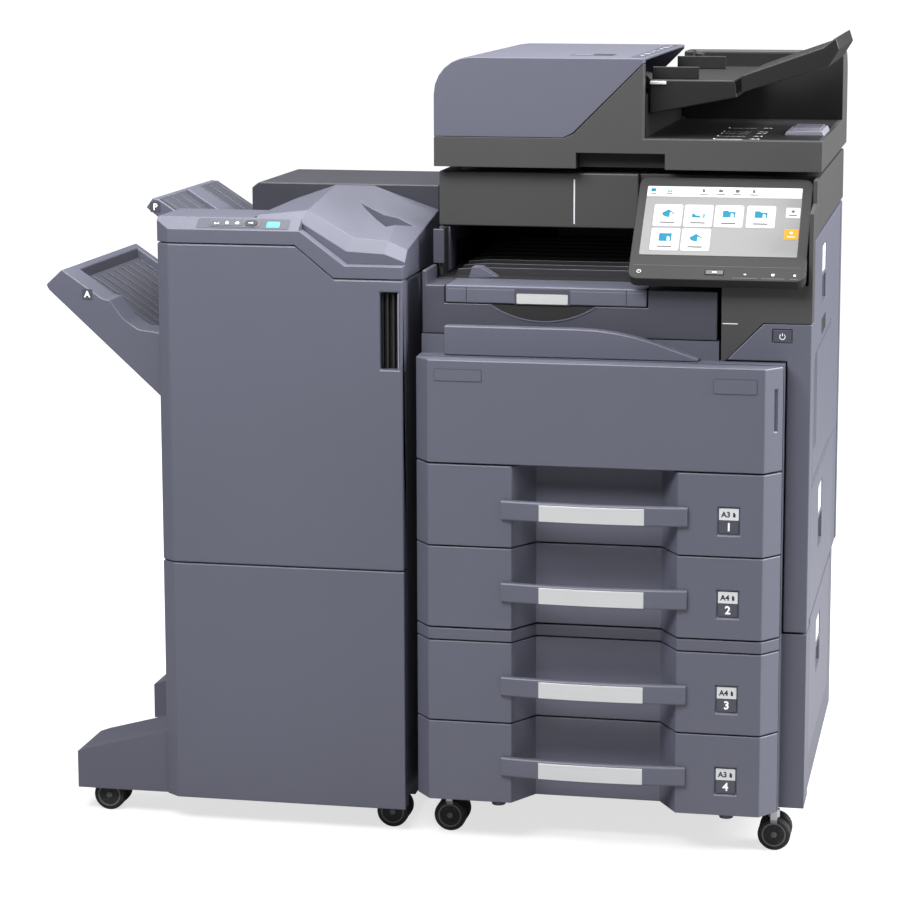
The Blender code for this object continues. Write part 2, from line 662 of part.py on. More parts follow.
def make_jam_cover():
    """Ridge-shaped cover lofted from a stepped front edge to a higher rear edge."""
    front = [(-255, 955), (-180, 955), (-108, 912), (-52, 911), (-20, 899)]
    rear = [(-255, 958), (-189, 983), (-126, 983), (-72, 964), (-20, 946)]
    floor = 865
    mesh = bpy.data.meshes.new("finisher_jam_cover")
    bm = bmesh.new()
    rings = []
    for y, profile in ((46.5, front), (298, rear)):
        rings.append([bm.verts.new(place(x, y, z)) for x, z in profile])
    for i in range(len(front) - 1):
        bm.faces.new((rings[0][i], rings[0][i + 1], rings[1][i + 1], rings[1][i]))
    for ring in rings:
        low = [bm.verts.new((v.co.x, v.co.y, floor * MM)) for v in (ring[0], ring[-1])]
        bm.faces.new(ring + [low[1], low[0]])
        ring += low
    (f0, f1), (r0, r1) = rings[0][-2:], rings[1][-2:]
    bm.faces.new((rings[0][0], rings[1][0], r0, f0))
    bm.faces.new((rings[0][len(front) - 1], rings[1][len(front) - 1], r1, f1))
    bm.faces.new((f0, f1, r1, r0))
    bmesh.ops.recalc_face_normals(bm, faces=bm.faces)
    bm.to_mesh(mesh)
    bm.free()
    cover = new_piece("finisher_jam_cover", mesh, LAVENDER, 0.4)
    hollow = box("jam_hollow", (-251, -24), (50, 294), (850, 893))
    cut(cover, hollow)
    pivot_at(cover, (-254.2, 170, 955.5))


def make_finisher_trays():
    scoop = [(-510, 820), (-498, 818), (-476, 789), (-452, 773), (MAIN_TRAY_ROOT, 768)]
    outline = [(MAIN_TRAY_TIP, 840), (-575, 864)] + scoop
    outline += [(MAIN_TRAY_ROOT, 660), (-597, 832)]
    tray = prism("main_tray", outline, "Y", MAIN_TRAY_Y, LAVENDER, 0.5)
    pocket = prism("main_tray_pocket", [(-566, 840), (-404, 738), (-404, 800), (-566, 900)],
                   "Y", (MAIN_TRAY_Y[0] + 60, MAIN_TRAY_Y[1] - 20))
    cut(tray, pocket)
    pivot_at(tray, ((MAIN_TRAY_TIP + MAIN_TRAY_ROOT) / 2, 260, 760))
    prism("sub_tray", [(-463, 955), (-452, 970), (-442, 968), (-342, 903), (-342, 889),
                       (-444, 940)],
          "Y", (160, 485), LAVENDER, 0.5)
    prism("transport_duct", [(-330, 905), (-330, 976), (-318, 985), (-20, 985), (-20, 905)],
          "Y", (301, FIN_Y[1]), DARK, 0.5)


# ---------------------------------------------------------------- casters
def make_wheels(name, axis, centre, height_centre):
    """Twin wheels and their axle, turned in one piece; the groove holds the caster's web."""
    half = WHEEL_W / 2
    groove = WHEEL_GAP / 2
    profile = [(0, half), (17, half), (WHEEL_R, half - 4), (WHEEL_R, groove + 2),
               (WHEEL_R - 3, groove), (4, groove)]
    mesh = bpy.data.meshes.new(name)
    bm = bmesh.new()
    rim = profile + [(r, -w) for r, w in reversed(profile)]
    verts = [bm.verts.new((r * MM, 0, w * MM)) for r, w in rim]
    for first, second in zip(verts, verts[1:]):
        bm.edges.new((first, second))
    bm.to_mesh(mesh)
    bm.free()
    wheels = new_piece(name, mesh, BLACK, 0.6)
    screw = wheels.modifiers.new("turned", "SCREW")
    screw.axis = "Z"
    screw.steps = 18
    screw.render_steps = 18
    screw.use_merge_vertices = True
    screw.merge_threshold = 0.00001
    screw.use_normal_calculate = True
    wheels.location = place(*centre, height_centre)
    wheels.rotation_euler = {"X": (0, math.pi / 2, 0), "Y": (math.pi / 2, 0, 0)}[axis]
    return wheels


def make_caster(number, x, y):
    """Swivel caster: stem and web turn about Z, twin wheels run on an axle behind."""
    axle_y = y + CASTER_TRAIL
    outline = [(y - 8, 62), (y - 8, 50), (axle_y - 8, 22)]
    outline += arc((axle_y, WHEEL_R), 8, 200, 360, 6)[1:] + [(axle_y + 8, 44), (y + 12, 62)]
    fork = prism(f"caster_{number}_fork", outline, "X", (x - 5, x + 5), STEEL, 0.4, 0.8)
    stem = rod(f"caster_{number}_stem", 9, "Z", (x, y), (54, CABINET_BOTTOM - GAP), 12)
    fuse(fork, stem)
    cut(fork, rod(f"caster_{number}_axle_hole", 4.4, "X", (axle_y, WHEEL_R), (x - 8, x + 8), 10))
    pivot_at(fork, (x, y, 60))
    make_wheels(f"caster_{number}_wheels", "X", (x, axle_y), WHEEL_R)


# ---------------------------------------------------------------- build
def main():
    clear_scene()
    for number, bottom in enumerate(DRAWER_Z, 1):
        make_drawer(number, bottom)
    make_front_door()
    make_feeder_frame()
    make_main_frame()
    make_right_covers()
    make_side_covers()
    make_rear_cover()
    make_rollers()
    make_bridge()
    make_scanner()
    make_dp_base()
    make_feed_cover()
    make_document_tray()
    make_panel()
    make_finisher_cabinet()
    make_finisher_panels()
    make_finisher_top()
    make_jam_cover()
    make_finisher_trays()
    for number, (x, y) in enumerate(FIN_WHEELS, 1):
        make_wheels(f"finisher_wheels_{number}", "Y", (x, y), WHEEL_R)
    for number, (x, y) in enumerate(CASTERS, 1):
        make_caster(number, x, y)


main()
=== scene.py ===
# %% [markdown]
# # Finishing a floor-standing photocopier
# The CAD model already holds every size, gap and hinge of this machine. Its solids have knife
# edges and one flat colour each, so they look like cardboard. Real casings are moulded: their
# edges are rounded by a millimetre or two, their faces carry a fine eroded grain, and labels,
# keys and ribs sit on them. This lesson adds those things, one group of pieces at a time, and
# lets every new piece ride on the CAD body that it belongs to.

# %% Load the frame
import math
from collections import namedtuple

import bmesh
import bpy
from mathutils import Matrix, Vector


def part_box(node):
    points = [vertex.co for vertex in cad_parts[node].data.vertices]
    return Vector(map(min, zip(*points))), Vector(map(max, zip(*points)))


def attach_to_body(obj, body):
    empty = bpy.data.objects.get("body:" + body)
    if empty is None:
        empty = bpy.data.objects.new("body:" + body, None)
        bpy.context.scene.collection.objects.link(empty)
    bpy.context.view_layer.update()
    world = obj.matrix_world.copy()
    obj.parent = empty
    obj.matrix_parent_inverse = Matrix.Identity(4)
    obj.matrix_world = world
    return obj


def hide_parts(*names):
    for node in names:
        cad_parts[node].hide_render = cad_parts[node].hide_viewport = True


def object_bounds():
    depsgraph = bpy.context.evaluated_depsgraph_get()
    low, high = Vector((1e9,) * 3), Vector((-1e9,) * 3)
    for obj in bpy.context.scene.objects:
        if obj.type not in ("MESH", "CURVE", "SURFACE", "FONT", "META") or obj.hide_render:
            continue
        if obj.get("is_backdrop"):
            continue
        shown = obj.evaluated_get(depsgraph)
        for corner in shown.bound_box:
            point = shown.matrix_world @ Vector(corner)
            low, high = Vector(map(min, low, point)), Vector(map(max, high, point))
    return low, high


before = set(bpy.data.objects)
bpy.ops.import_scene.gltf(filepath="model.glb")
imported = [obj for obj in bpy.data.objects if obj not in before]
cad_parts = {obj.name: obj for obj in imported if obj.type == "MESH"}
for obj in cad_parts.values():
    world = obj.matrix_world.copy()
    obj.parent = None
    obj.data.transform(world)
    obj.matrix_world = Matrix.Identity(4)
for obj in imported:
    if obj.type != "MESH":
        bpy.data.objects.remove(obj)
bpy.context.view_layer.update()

# %% [markdown]
# ## A ruler for the machine
# Sizes on an office machine are easiest to think of in millimetres, counted from one corner.
# Here the corner is the left end of the drawers' front plane on the floor: x runs right, y
# runs back and z runs up. The corner comes from the CAD door, so nothing is fitted by eye.

# %% Millimetres from the machine's own corner
MM = 0.001
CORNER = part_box("front_door")[0]
Box = namedtuple("Box", "x0 x1 y0 y1 z0 z1")


def at(x, y, z):
    """A point of the ruler, in the frame's metres."""
    return Vector((CORNER.x + x * MM, CORNER.y + y * MM, z * MM))


def box_of(node):
    """What a CAD node spans on the ruler."""
    low, high = ((corner - CORNER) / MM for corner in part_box(node))
    base = CORNER.z / MM
    return Box(low.x, high.x, low.y, high.y, low.z + base, high.z + base)


door = box_of("front_door")
print("front door:", [round(value, 1) for value in door])

# %% [markdown]
# ## Closed solids to start from
# Each casing starts as a closed solid: a block, an outline pushed along an axis, a profile
# turned about an axis, or a row of unlike rings joined by quads. bmesh makes all of them in a
# few lines, and keeps the points in millimetres until the very end.

# %% Makers of closed solids
def make_object(name, bm, place=at):
    """Turn a mesh drawn on the ruler into an object that sits in its place."""
    bmesh.ops.remove_doubles(bm, verts=bm.verts, dist=0.01)
    for vert in bm.verts:
        vert.co = place(*vert.co)
    bmesh.ops.recalc_face_normals(bm, faces=bm.faces)
    mesh = bpy.data.meshes.new(name)
    bm.to_mesh(mesh)
    bm.free()
    obj = bpy.data.objects.new(name, mesh)
    bpy.context.scene.collection.objects.link(obj)
    return obj


def block(name, x, y, z, place=at):
    bm = bmesh.new()
    bmesh.ops.create_cube(bm, size=1)
    size = Vector((x[1] - x[0], y[1] - y[0], z[1] - z[0]))
    middle = Vector((x[0] + x[1], y[0] + y[1], z[0] + z[1])) / 2
    for vert in bm.verts:
        vert.co = vert.co * size + middle
    return make_object(name, bm, place)


def on_axis(axis, u, v, w):
    """The ruler's point for (u, v) in an outline at w along its axis."""
    return {"X": (w, u, v), "Y": (u, w, v), "Z": (u, v, w)}[axis]


def join_rings(bm, rings):
    """Quads between rings of points, and a cap on each end."""
    rows = [[bm.verts.new(point) for point in ring] for ring in rings]
    for low, high in zip(rows, rows[1:]):
        for i in range(len(low)):
            bm.faces.new((low[i - 1], low[i], high[i], high[i - 1]))
    bm.faces.new(rows[0][::-1])
    bm.faces.new(rows[-1])


def slab(name, outline, axis, span, place=at):
    """An outline pushed along an axis."""
    bm = bmesh.new()
    join_rings(bm, [[on_axis(axis, u, v, w) for u, v in outline] for w in span])
    return make_object(name, bm, place)


def loft(name, rings, place=at):
    bm = bmesh.new()
    join_rings(bm, rings)
    return make_object(name, bm, place)


def turned(name, profile, axis, centre, sides=40, place=at):
    """A profile of (radius, distance along the axis) turned about a line through centre."""
    bm = bmesh.new()
    rings = []
    for radius, along in profile:
        ring = []
        for i in range(sides):
            angle = math.tau * i / sides
            ring.append(on_axis(axis, centre[0] + radius * math.cos(angle),
                                centre[1] + radius * math.sin(angle), centre[2] + along))
        rings.append(ring)
    join_rings(bm, rings)
    return make_object(name, bm, place)


def arc(centre, radius, start, end, steps=10):
    """Points of an arc, angles in degrees."""
    points = []
    for i in range(steps + 1):
        angle = math.radians(start + (end - start) * i / steps)
        points.append((centre[0] + radius * math.cos(angle),
                       centre[1] + radius * math.sin(angle)))
    return points


def round_rect(x, y, radius, steps=5):
    """Outline of a rectangle with round corners."""
    points = []
    corners = ((x[1], y[0], -90), (x[1], y[1], 0), (x[0], y[1], 90), (x[0], y[0], 180))
    for corner_x, corner_y, start in corners:
        centre = (corner_x - radius if corner_x == x[1] else corner_x + radius,
                  corner_y - radius if corner_y == y[1] else corner_y + radius)
        points += arc(centre, radius, start, start + 90, steps)
    return points


def copy_of(node, name):
    """A copy of a CAD node with its loose triangles welded into whole faces."""
    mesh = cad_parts[node].data.copy()
    for attribute in [a.name for a in mesh.attributes if "normal" in a.name or "sharp" in a.name]:
        mesh.attributes.remove(mesh.attributes[attribute])
    mesh.materials.clear()
    bm = bmesh.new()
    bm.from_mesh(mesh)
    bmesh.ops.remove_doubles(bm, verts=bm.verts, dist=0.00001)
    for face in bm.faces:
        face.smooth = False
        face.material_index = 0
    bmesh.ops.dissolve_limit(bm, angle_limit=math.radians(0.5), verts=bm.verts, edges=bm.edges)
    bm.to_mesh(mesh)
    bm.free()
    obj = bpy.data.objects.new(name, mesh)
    bpy.context.scene.collection.objects.link(obj)
    return obj


print("makers ready; the door's copy has",
      len(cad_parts["front_door"].data.polygons), "triangles before welding")

# %% [markdown]
# ## Cutting, joining and softening
# A mould maker sinks pockets into a block and then breaks every edge. Boolean modifiers sink
# the pockets, and a Bevel modifier limited by angle breaks the edges, because it rounds the
# sharp ones and leaves the steps of a curve alone. A Weighted Normal modifier then keeps the
# big faces flat in shade, so that only the narrow rounding catches the light. Each result is
# made a plain mesh at once, so no cutter has to stay in the scene.

# %% Cut, join, soften
def settle(obj):
    """Keep what the modifiers make of the mesh, and drop the modifiers."""
    graph = bpy.context.evaluated_depsgraph_get()
    mesh = bpy.data.meshes.new_from_object(obj.evaluated_get(graph))
    obj.modifiers.clear()
    obj.data = mesh
    return obj


def carve(obj, *tools):
    """Sink the shape of each tool into a piece."""
    for tool in tools:
        modifier = obj.modifiers.new("work", "BOOLEAN")
        modifier.operation = "DIFFERENCE"
        modifier.solver = "EXACT"
        modifier.object = tool
    settle(obj)
    for tool in tools:
        bpy.data.objects.remove(tool)
    return obj


def soften(obj, width=1.2, segments=3, angle=33, crease=50):
    """Round the sharp edges by width millimetres; folds past crease degrees stay crisp."""
    bm = bmesh.new()
    bm.from_mesh(obj.data)
    bmesh.ops.remove_doubles(bm, verts=bm.verts, dist=0.00003)
    bmesh.ops.dissolve_limit(bm, angle_limit=math.radians(0.5), verts=bm.verts, edges=bm.edges)
    bm.to_mesh(obj.data)
    bm.free()
    bevel = obj.modifiers.new("edges", "BEVEL")
    bevel.width = width * MM
    bevel.segments = segments
    bevel.limit_method = "ANGLE"
    bevel.angle_limit = math.radians(angle)
    bevel.use_clamp_overlap = True
    return smooth(settle(obj), crease)


def smooth(obj, crease=50):
    obj.data.shade_smooth()
    normals = obj.modifiers.new("shade", "WEIGHTED_NORMAL")
    normals.weight = 100
    normals.keep_sharp = True
    obj.data.set_sharp_from_angle(angle=math.radians(crease))
    return settle(obj)


def merge(name, objs):
    """Several objects made one, each part keeping its finish."""
    first = objs[0]
    if len(objs) > 1:
        with bpy.context.temp_override(active_object=first, object=first,
                                       selected_objects=objs, selected_editable_objects=objs):
            bpy.ops.object.join()
    first.name = name
    return first


def finish(obj, body, paint, *nodes):
    """Paint a piece, let it ride on its body, and hide the CAD nodes that it stands for."""
    if paint is not None:
        obj.data.materials.clear()
        obj.data.materials.append(paint)
    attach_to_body(obj, body)
    if nodes:
        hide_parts(*nodes)
    return obj


def coat(obj, paint):
    """Give a part its paint before it is merged into a piece."""
    obj.data.materials.clear()
    obj.data.materials.append(paint)
    return obj


def bar(x, y, z, paint, edge=0, segments=2):
    """A painted block whose edges are rounded by edge millimetres."""
    obj = block("bar", x, y, z)
    return coat(soften(obj, edge, segments) if edge else obj, paint)


def attach(name, body, slot, *parts):
    """Painted parts made one piece that rides on a body; the slot argument is not used."""
    made = finish(merge(name, list(parts)), body, None)
    return made


print("cutting and softening ready")

# %% [markdown]
# ## Sums on shader sockets
# A finish needs a little arithmetic: some noise times a depth, plus a base. Written as nodes
# this is slow to read, so a small class wraps a socket and lets Python's own operators add the
# Math nodes. Every other node comes from one method, which takes the node's type, its settings
# and what goes into its sockets. Plain numbers that hold all over are set on the shader.

# %% A value and a finish
class Value:
    """A shader socket that takes part in Python sums."""

    def __init__(self, paint, socket):
        self.paint = paint
        self.socket = socket

    def math(self, operation, first, second=0.0):
        return self.paint.node("ShaderNodeMath", {"operation": operation}, {0: first, 1: second})

    def __add__(self, other):
        return self.math("ADD", self, other)

    def __mul__(self, other):
        return self.math("MULTIPLY", self, other)

    def __gt__(self, other):
        return self.math("GREATER_THAN", self, other)

    __radd__ = __add__


class Finish:
    """One material: a Principled shader and whatever varies over the surface."""

    def __init__(self, name, slot, roughness, **constants):
        self.material = bpy.data.materials.new(name)
        self.material.use_nodes = True
        self.material["slot"] = slot
        self.tree = self.material.node_tree
        self.shader = self.tree.nodes["Principled BSDF"]
        self.shader.inputs["Roughness"].default_value = roughness
        for socket, value in constants.items():
            self.shader.inputs[socket.replace("_", " ")].default_value = value
        self.place = self.node("ShaderNodeTexCoord", output="Object")

    def node(self, kind, settings=None, inputs=None, output=0):
        made = self.tree.nodes.new(kind)
        for key, value in (settings or {}).items():
            if key == "stops":
                for element, (position, colour) in zip(made.color_ramp.elements, value):
                    element.position = position
                    element.color = colour
            else:
                setattr(made, key, value)
        for key, value in (inputs or {}).items():
            self.connect(made.inputs[key], value)
        return Value(self, made.outputs[output])

    def connect(self, socket, value):
        if isinstance(value, Value):
            self.tree.links.new(value.socket, socket)
        else:
            socket.default_value = value

    def feed(self, socket, value):
        self.connect(self.shader.inputs[socket], value)

    def noise(self, scale, detail=2.0, stretch=None):
        place = self.place
        if stretch:
            place = self.node("ShaderNodeMapping", {}, {"Vector": place, "Scale": stretch})
        return self.node("ShaderNodeTexNoise", {}, {"Vector": place, "Scale": scale,
                                                    "Detail": detail})

    def between(self, factor, first, second):
        """Colour between two colours."""
        return self.node("ShaderNodeMix", {"data_type": "RGBA"},
                         {0: factor, 6: (*first, 1), 7: (*second, 1)}, output=2)

    def bump(self, height, depth):
        """Raise the surface by height times depth millimetres."""
        self.feed("Normal", self.node("ShaderNodeBump", {}, {
            "Height": height, "Strength": 1.0, "Distance": depth * MM}))


def shade(colour, factor):
    return tuple(min(channel * factor, 1.0) for channel in colour)


print("finish maker ready")

# %% [markdown]
# ## Moulded plastic
# Office machines are moulded in ABS whose steel mould was spark eroded. That leaves grains a
# little under a millimetre across, a satin gloss that varies with them, and a colour that
# drifts very slightly over a large panel. Three noises at three scales give just that. The
# same function makes every plastic on the machine, and only colour and gloss change.

# %% Plastics
def moulded(name, slot, colour, roughness=0.45, grain=0.05, drift=0.06, **constants):
    paint = Finish(name, slot, roughness, **constants)
    slow = paint.noise(5.0, 3.0)
    grains = paint.noise(1400.0, 1.0)
    paint.feed("Base Color", paint.between(slow * 0.75 + grains * 0.25,
                                           shade(colour, 1 - drift), shade(colour, 1 + drift)))
    paint.feed("Roughness", roughness - 0.06 + grains * 0.08 + paint.noise(22.0) * 0.04)
    paint.bump(grains, grain)
    return paint.material


LAVENDER = (0.094, 0.097, 0.131)
shell_paint = moulded("lavender_abs", "lavender_shell", LAVENDER, 0.42)
cabinet_shell = moulded("cabinet_abs", "cabinet_shell", shade(LAVENDER, 0.93), 0.48)
dark_paint = moulded("graphite_abs", "dark_shell", (0.052, 0.052, 0.053), 0.4)
# A darker copy of the lavender: the slate tone of the finisher's control strip, and painted shade
# on the tops and ribs of the finisher trays.
slate_and_shade_paint = moulded("slate_and_painted_shade_abs", "lavender_shell", shade(LAVENDER, 0.55), 0.42)
# The duct's lavender darkened to a third: painted shade, as the duct stands behind the front.
duct_shade_paint = moulded("duct_painted_shade_abs", "lavender_shell", shade(LAVENDER, 0.34), 0.45)
tray_dark = moulded("document_black", "dark_shell", (0.012, 0.012, 0.013), 0.42,
                    Specular_IOR_Level=0.3)
black_paint = moulded("black_abs", "inner_plastic", (0.014, 0.014, 0.016), 0.5)
tray_paint = moulded("tray_abs", "inner_plastic", (0.024, 0.024, 0.029), 0.38)
# Near-black: the seam lines on the bridge cover and the tray door, and painted shadow in the
# slots, pockets, vents and gaps where shade falls.
shadow_paint = moulded("seams_and_painted_shadow", "inner_plastic", (0.006, 0.006, 0.007), 0.7)
bezel_paint = moulded("panel_bezel", "dark_shell", (0.02, 0.02, 0.02), 0.5, Specular_IOR_Level=0.2)
# A darker copy of the lavender: the own tone of tiles, keys and the hint strip, and painted shade
# in the rings round the door badges, the latch and the pull plate and in the tray door's grip
# groove.
tile_and_shade_paint = moulded("tile_and_painted_shade_abs", "lavender_shell", shade(LAVENDER, 0.62), 0.4)
# Pale lavender: the own colour of the drawer fences and the landing stop, and a painted highlight
# on the hand slot's rim and along the bridge cover's top.
pale_and_highlight_paint = moulded("pale_and_painted_highlight_abs", "lavender_shell", (0.2, 0.2, 0.245), 0.4)
cyan_paint = moulded("cyan_key", "start_key", (0.0, 0.3, 0.33), 0.3, Coat_Weight=0.3)
hub_paint = moulded("hub_nylon", "wheel_tread", (0.085, 0.085, 0.088), 0.5)
green_paint = moulded("drum_coating", "drum_coat", (0.03, 0.16, 0.12), 0.12, grain=0.0)
fuser_paint = moulded("fuser_skin", "fuser_sleeve", (0.16, 0.05, 0.035), 0.3, grain=0.0)
print("plastics:", len(bpy.data.materials), "materials so far")

# %% [markdown]
# ## Labels, rubber, zinc and glass
# The handle inserts are foil-faced strips with a faint brushed line, the wheels are run in
# rubber that picks up floor dust, and the caster forks are zinc plated sheet. Printed marks
# and the lit screen hold one even tone, so for them the detail lies in their shapes.

# %% Other finishes
def foil(name, slot, colour, metallic):
    paint = Finish(name, slot, 0.34, Metallic=metallic)
    lines = paint.noise(60.0, 4.0, stretch=(0.06, 1.0, 14.0))
    paint.feed("Base Color", paint.between(lines, shade(colour, 0.93), shade(colour, 1.05)))
    paint.feed("Roughness", 0.27 + lines * 0.14)
    paint.bump(lines, 0.01)
    return paint.material


def printed(name, slot, colour, glow=0.0):
    """Ink or a lit field, with the faint tooth of a silk screen."""
    paint = Finish(name, slot, 0.5, Specular_IOR_Level=0.15)
    tooth = paint.noise(900.0, 1.0)
    paint.feed("Base Color", paint.between(tooth, shade(colour, 0.97), shade(colour, 1.02)))
    if glow:
        paint.feed("Emission Color", paint.between(tooth, shade(colour, 0.99), colour))
        paint.shader.inputs["Emission Strength"].default_value = glow
    paint.bump(tooth, 0.005)
    return paint.material


def rubber(name, slot, colour):
    paint = Finish(name, slot, 0.75, Specular_IOR_Level=0.3)
    dust = paint.noise(130.0, 5.0) > 0.56
    paint.feed("Base Color", paint.between(dust * 0.6, colour, shade(colour, 2.4)))
    paint.feed("Roughness", 0.68 + dust * 0.16)
    paint.bump(paint.noise(700.0, 3.0), 0.08)
    return paint.material


def clear_glass(name, slot):
    paint = Finish(name, slot, 0.03, Transmission_Weight=0.92, IOR=1.5)
    smear = paint.noise(9.0, 5.0)
    paint.feed("Base Color", paint.between(smear, (0.82, 0.88, 0.87), (0.9, 0.95, 0.94)))
    paint.feed("Roughness", 0.02 + smear * 0.03)
    return paint.material


silver_foil = foil("handle_foil", "lavender_shell", (0.56, 0.57, 0.575), 0.25)
zinc_paint = foil("zinc_sheet", "caster_metal", (0.42, 0.43, 0.45), 0.85)
bright_line = printed("white_insert", "dark_shell", (0.66, 0.66, 0.68))
card_paper = printed("index_card", "inner_plastic", (0.6, 0.61, 0.63))
# White print with a faint glow of its own: painted light that brightens the marks.
glowing_white_ink = printed("glowing_white_ink", "dark_shell", (0.8, 0.8, 0.82), 0.1)
grey_ink = printed("grey_ink", "lavender_shell", (0.3, 0.3, 0.36))
dark_ink = printed("dark_ink", "dark_shell", (0.03, 0.03, 0.035))
screen_field = printed("screen_field", "dark_shell", (0.19, 0.19, 0.19), 0.04)
screen_white = printed("screen_white", "dark_shell", (0.48, 0.48, 0.48), 0.12)
screen_blue = printed("screen_blue", "dark_shell", (0.0, 0.13, 0.21), 0.12)
screen_grey = printed("screen_grey", "dark_shell", (0.08, 0.08, 0.08), 0.05)
screen_amber = printed("screen_amber", "dark_shell", (0.62, 0.22, 0.004), 0.12)
tread_rubber = rubber("tread_rubber", "wheel_tread", (0.016, 0.016, 0.017))
feed_rubber = rubber("feed_rubber", "roller_rubber", (0.03, 0.03, 0.032))
glass_paint = clear_glass("float_glass", "platen_glass")
print("finishes:", len(bpy.data.materials), "materials")

# %% [markdown]
# ## Copies on a grid
# Ribs, slots and screws repeat, so each is modelled once and a small Geometry Nodes tree sets
# copies of it on a grid of points. The tree takes the numbers of columns and rows, the two
# spacings between them and the finish as named inputs, and ends by making the copies real,
# because an exported model holds no instances.

# %% A tree that repeats a piece on a grid
def open_tree(name, sockets):
    """A new node tree with named inputs and one geometry output."""
    tree = bpy.data.node_groups.new(name, "GeometryNodeTree")
    for label, kind in sockets.items():
        tree.interface.new_socket(label, in_out="INPUT", socket_type=f"NodeSocket{kind}")
    tree.interface.new_socket("Geometry", in_out="OUTPUT", socket_type="NodeSocketGeometry")
    return tree, tree.nodes.new("NodeGroupInput")


def close_tree(tree, given, geometry):
    """Make any copies real, paint them, and send them out."""
    real = tree.nodes.new("GeometryNodeRealizeInstances")
    painted = tree.nodes.new("GeometryNodeSetMaterial")
    out = tree.nodes.new("NodeGroupOutput")
    for source, target in ((geometry, real.inputs["Geometry"]),
                           (real.outputs["Geometry"], painted.inputs["Geometry"]),
                           (given.outputs["Finish"], painted.inputs["Material"]),
                           (painted.outputs["Geometry"], out.inputs["Geometry"])):
        tree.links.new(source, target)
    return tree


def grid_tree():
    tree, given = open_tree("copies_on_a_grid", {
        "Geometry": "Geometry", "Columns": "Int", "Rows": "Int", "Column step": "Vector",
        "Row step": "Vector", "Finish": "Material"})
    add, link = tree.nodes.new, tree.links.new
    lines = []
    for count, step in (("Columns", "Column step"), ("Rows", "Row step")):
        line = add("GeometryNodeMeshLine")
        link(given.outputs[count], line.inputs["Count"])
        link(given.outputs[step], line.inputs["Offset"])
        lines.append(line)
    grid = add("GeometryNodeInstanceOnPoints")
    link(lines[0].outputs["Mesh"], grid.inputs["Points"])
    link(lines[1].outputs["Mesh"], grid.inputs["Instance"])
    points = add("GeometryNodeRealizeInstances")
    link(grid.outputs["Instances"], points.inputs["Geometry"])
    copies = add("GeometryNodeInstanceOnPoints")
    link(points.outputs["Geometry"], copies.inputs["Points"])
    link(given.outputs["Geometry"], copies.inputs["Instance"])
    return close_tree(tree, given, copies.outputs["Instances"])


def run_tree(obj, tree, values):
    """Put a tree on an object, set its inputs by identifier, and keep the mesh it makes."""
    modifier = obj.modifiers.new(tree.name, "NODES")
    modifier.node_group = tree
    for item in tree.interface.items_tree:
        if item.in_out == "INPUT" and item.name in values:
            modifier[item.identifier] = values[item.name]
    return settle(obj)


GRID = grid_tree()


def repeat(obj, paint, columns, column_step, rows=1, row_step=(0, 0, 0)):
    """Copies of a piece, counted in two directions; the steps are in millimetres."""
    return run_tree(obj, GRID, {
        "Columns": columns, "Rows": rows, "Finish": paint,
        "Column step": [value * MM for value in column_step],
        "Row step": [value * MM for value in row_step]})


print("grid tree:", len(GRID.nodes), "nodes")

# %% [markdown]
# ## Writing on a face
# Digits, tray letters and small symbols are printed on faces that look in different
# directions. A function that turns (right, up, out) on a face into a point of the frame lets
# the same makers draw on any of them. Letters come from Blender's own text object, made a mesh
# before it is placed. Symbols are plain outlines in a unit square.

# %% Faces, letters and symbols
def facing_front(y):
    return lambda right, up, out: at(right, y - out, up)


def facing_right(x):
    return lambda right, up, out: at(x + out, right, up)


def facing_up(z):
    return lambda right, up, out: at(right, up, z + out)


def lettering(text, size, centre, face, paint, out=(0.0, 0.25)):
    curve = bpy.data.curves.new("letters", "FONT")
    curve.body = text
    curve.size = size
    curve.align_x = curve.align_y = "CENTER"
    curve.resolution_u = 3
    curve.offset = size * 0.03
    curve.extrude = (out[1] - out[0]) / 2
    carrier = bpy.data.objects.new("letters", curve)
    bpy.context.scene.collection.objects.link(carrier)
    graph = bpy.context.evaluated_depsgraph_get()
    mesh = bpy.data.meshes.new_from_object(carrier.evaluated_get(graph))
    bpy.data.objects.remove(carrier)
    bm = bmesh.new()
    bm.from_mesh(mesh)
    middle = (out[0] + out[1]) / 2
    for vert in bm.verts:
        vert.co = (vert.co.x + centre[0], vert.co.y + centre[1], vert.co.z + middle)
    return coat(make_object("letters", bm, face), paint)


SYMBOLS = {
    "sheet": [(0.2, 0), (0.8, 0), (0.8, 0.7), (0.55, 1), (0.2, 1)],
    "folder": [(0, 0.1), (1, 0.1), (1, 0.8), (0.5, 0.8), (0.4, 0.95), (0, 0.95)],
    "box": [(0, 0), (1, 0), (1, 1), (0, 1)],
    "arrow": [(0, 0.35), (0.5, 0.35), (0.5, 0.1), (1, 0.5), (0.5, 0.9), (0.5, 0.65), (0, 0.65)],
    "drop": [(0.5, 0), (0.85, 0.15), (1, 0.5), (0.5, 1), (0, 0.5), (0.15, 0.15)],
    "tray": [(0, 0), (1, 0), (1, 0.5), (0.85, 0.5), (0.7, 0.25), (0.3, 0.25), (0.15, 0.5),
             (0, 0.5)],
}


def symbol(kind, size, centre, face, paint, out=(0.0, 0.3)):
    width, height = size
    outline = [(centre[0] + (u - 0.5) * width, centre[1] + (v - 0.5) * height)
               for u, v in SYMBOLS[kind]]
    return coat(slab(kind, outline, "Z", out, face), paint)


def plate(x, y, radius, face, paint, out=(0.0, 0.5)):
    """A thin tile with round corners on a face."""
    return coat(slab("plate", round_rect(x, y, radius), "Z", out, face), paint)


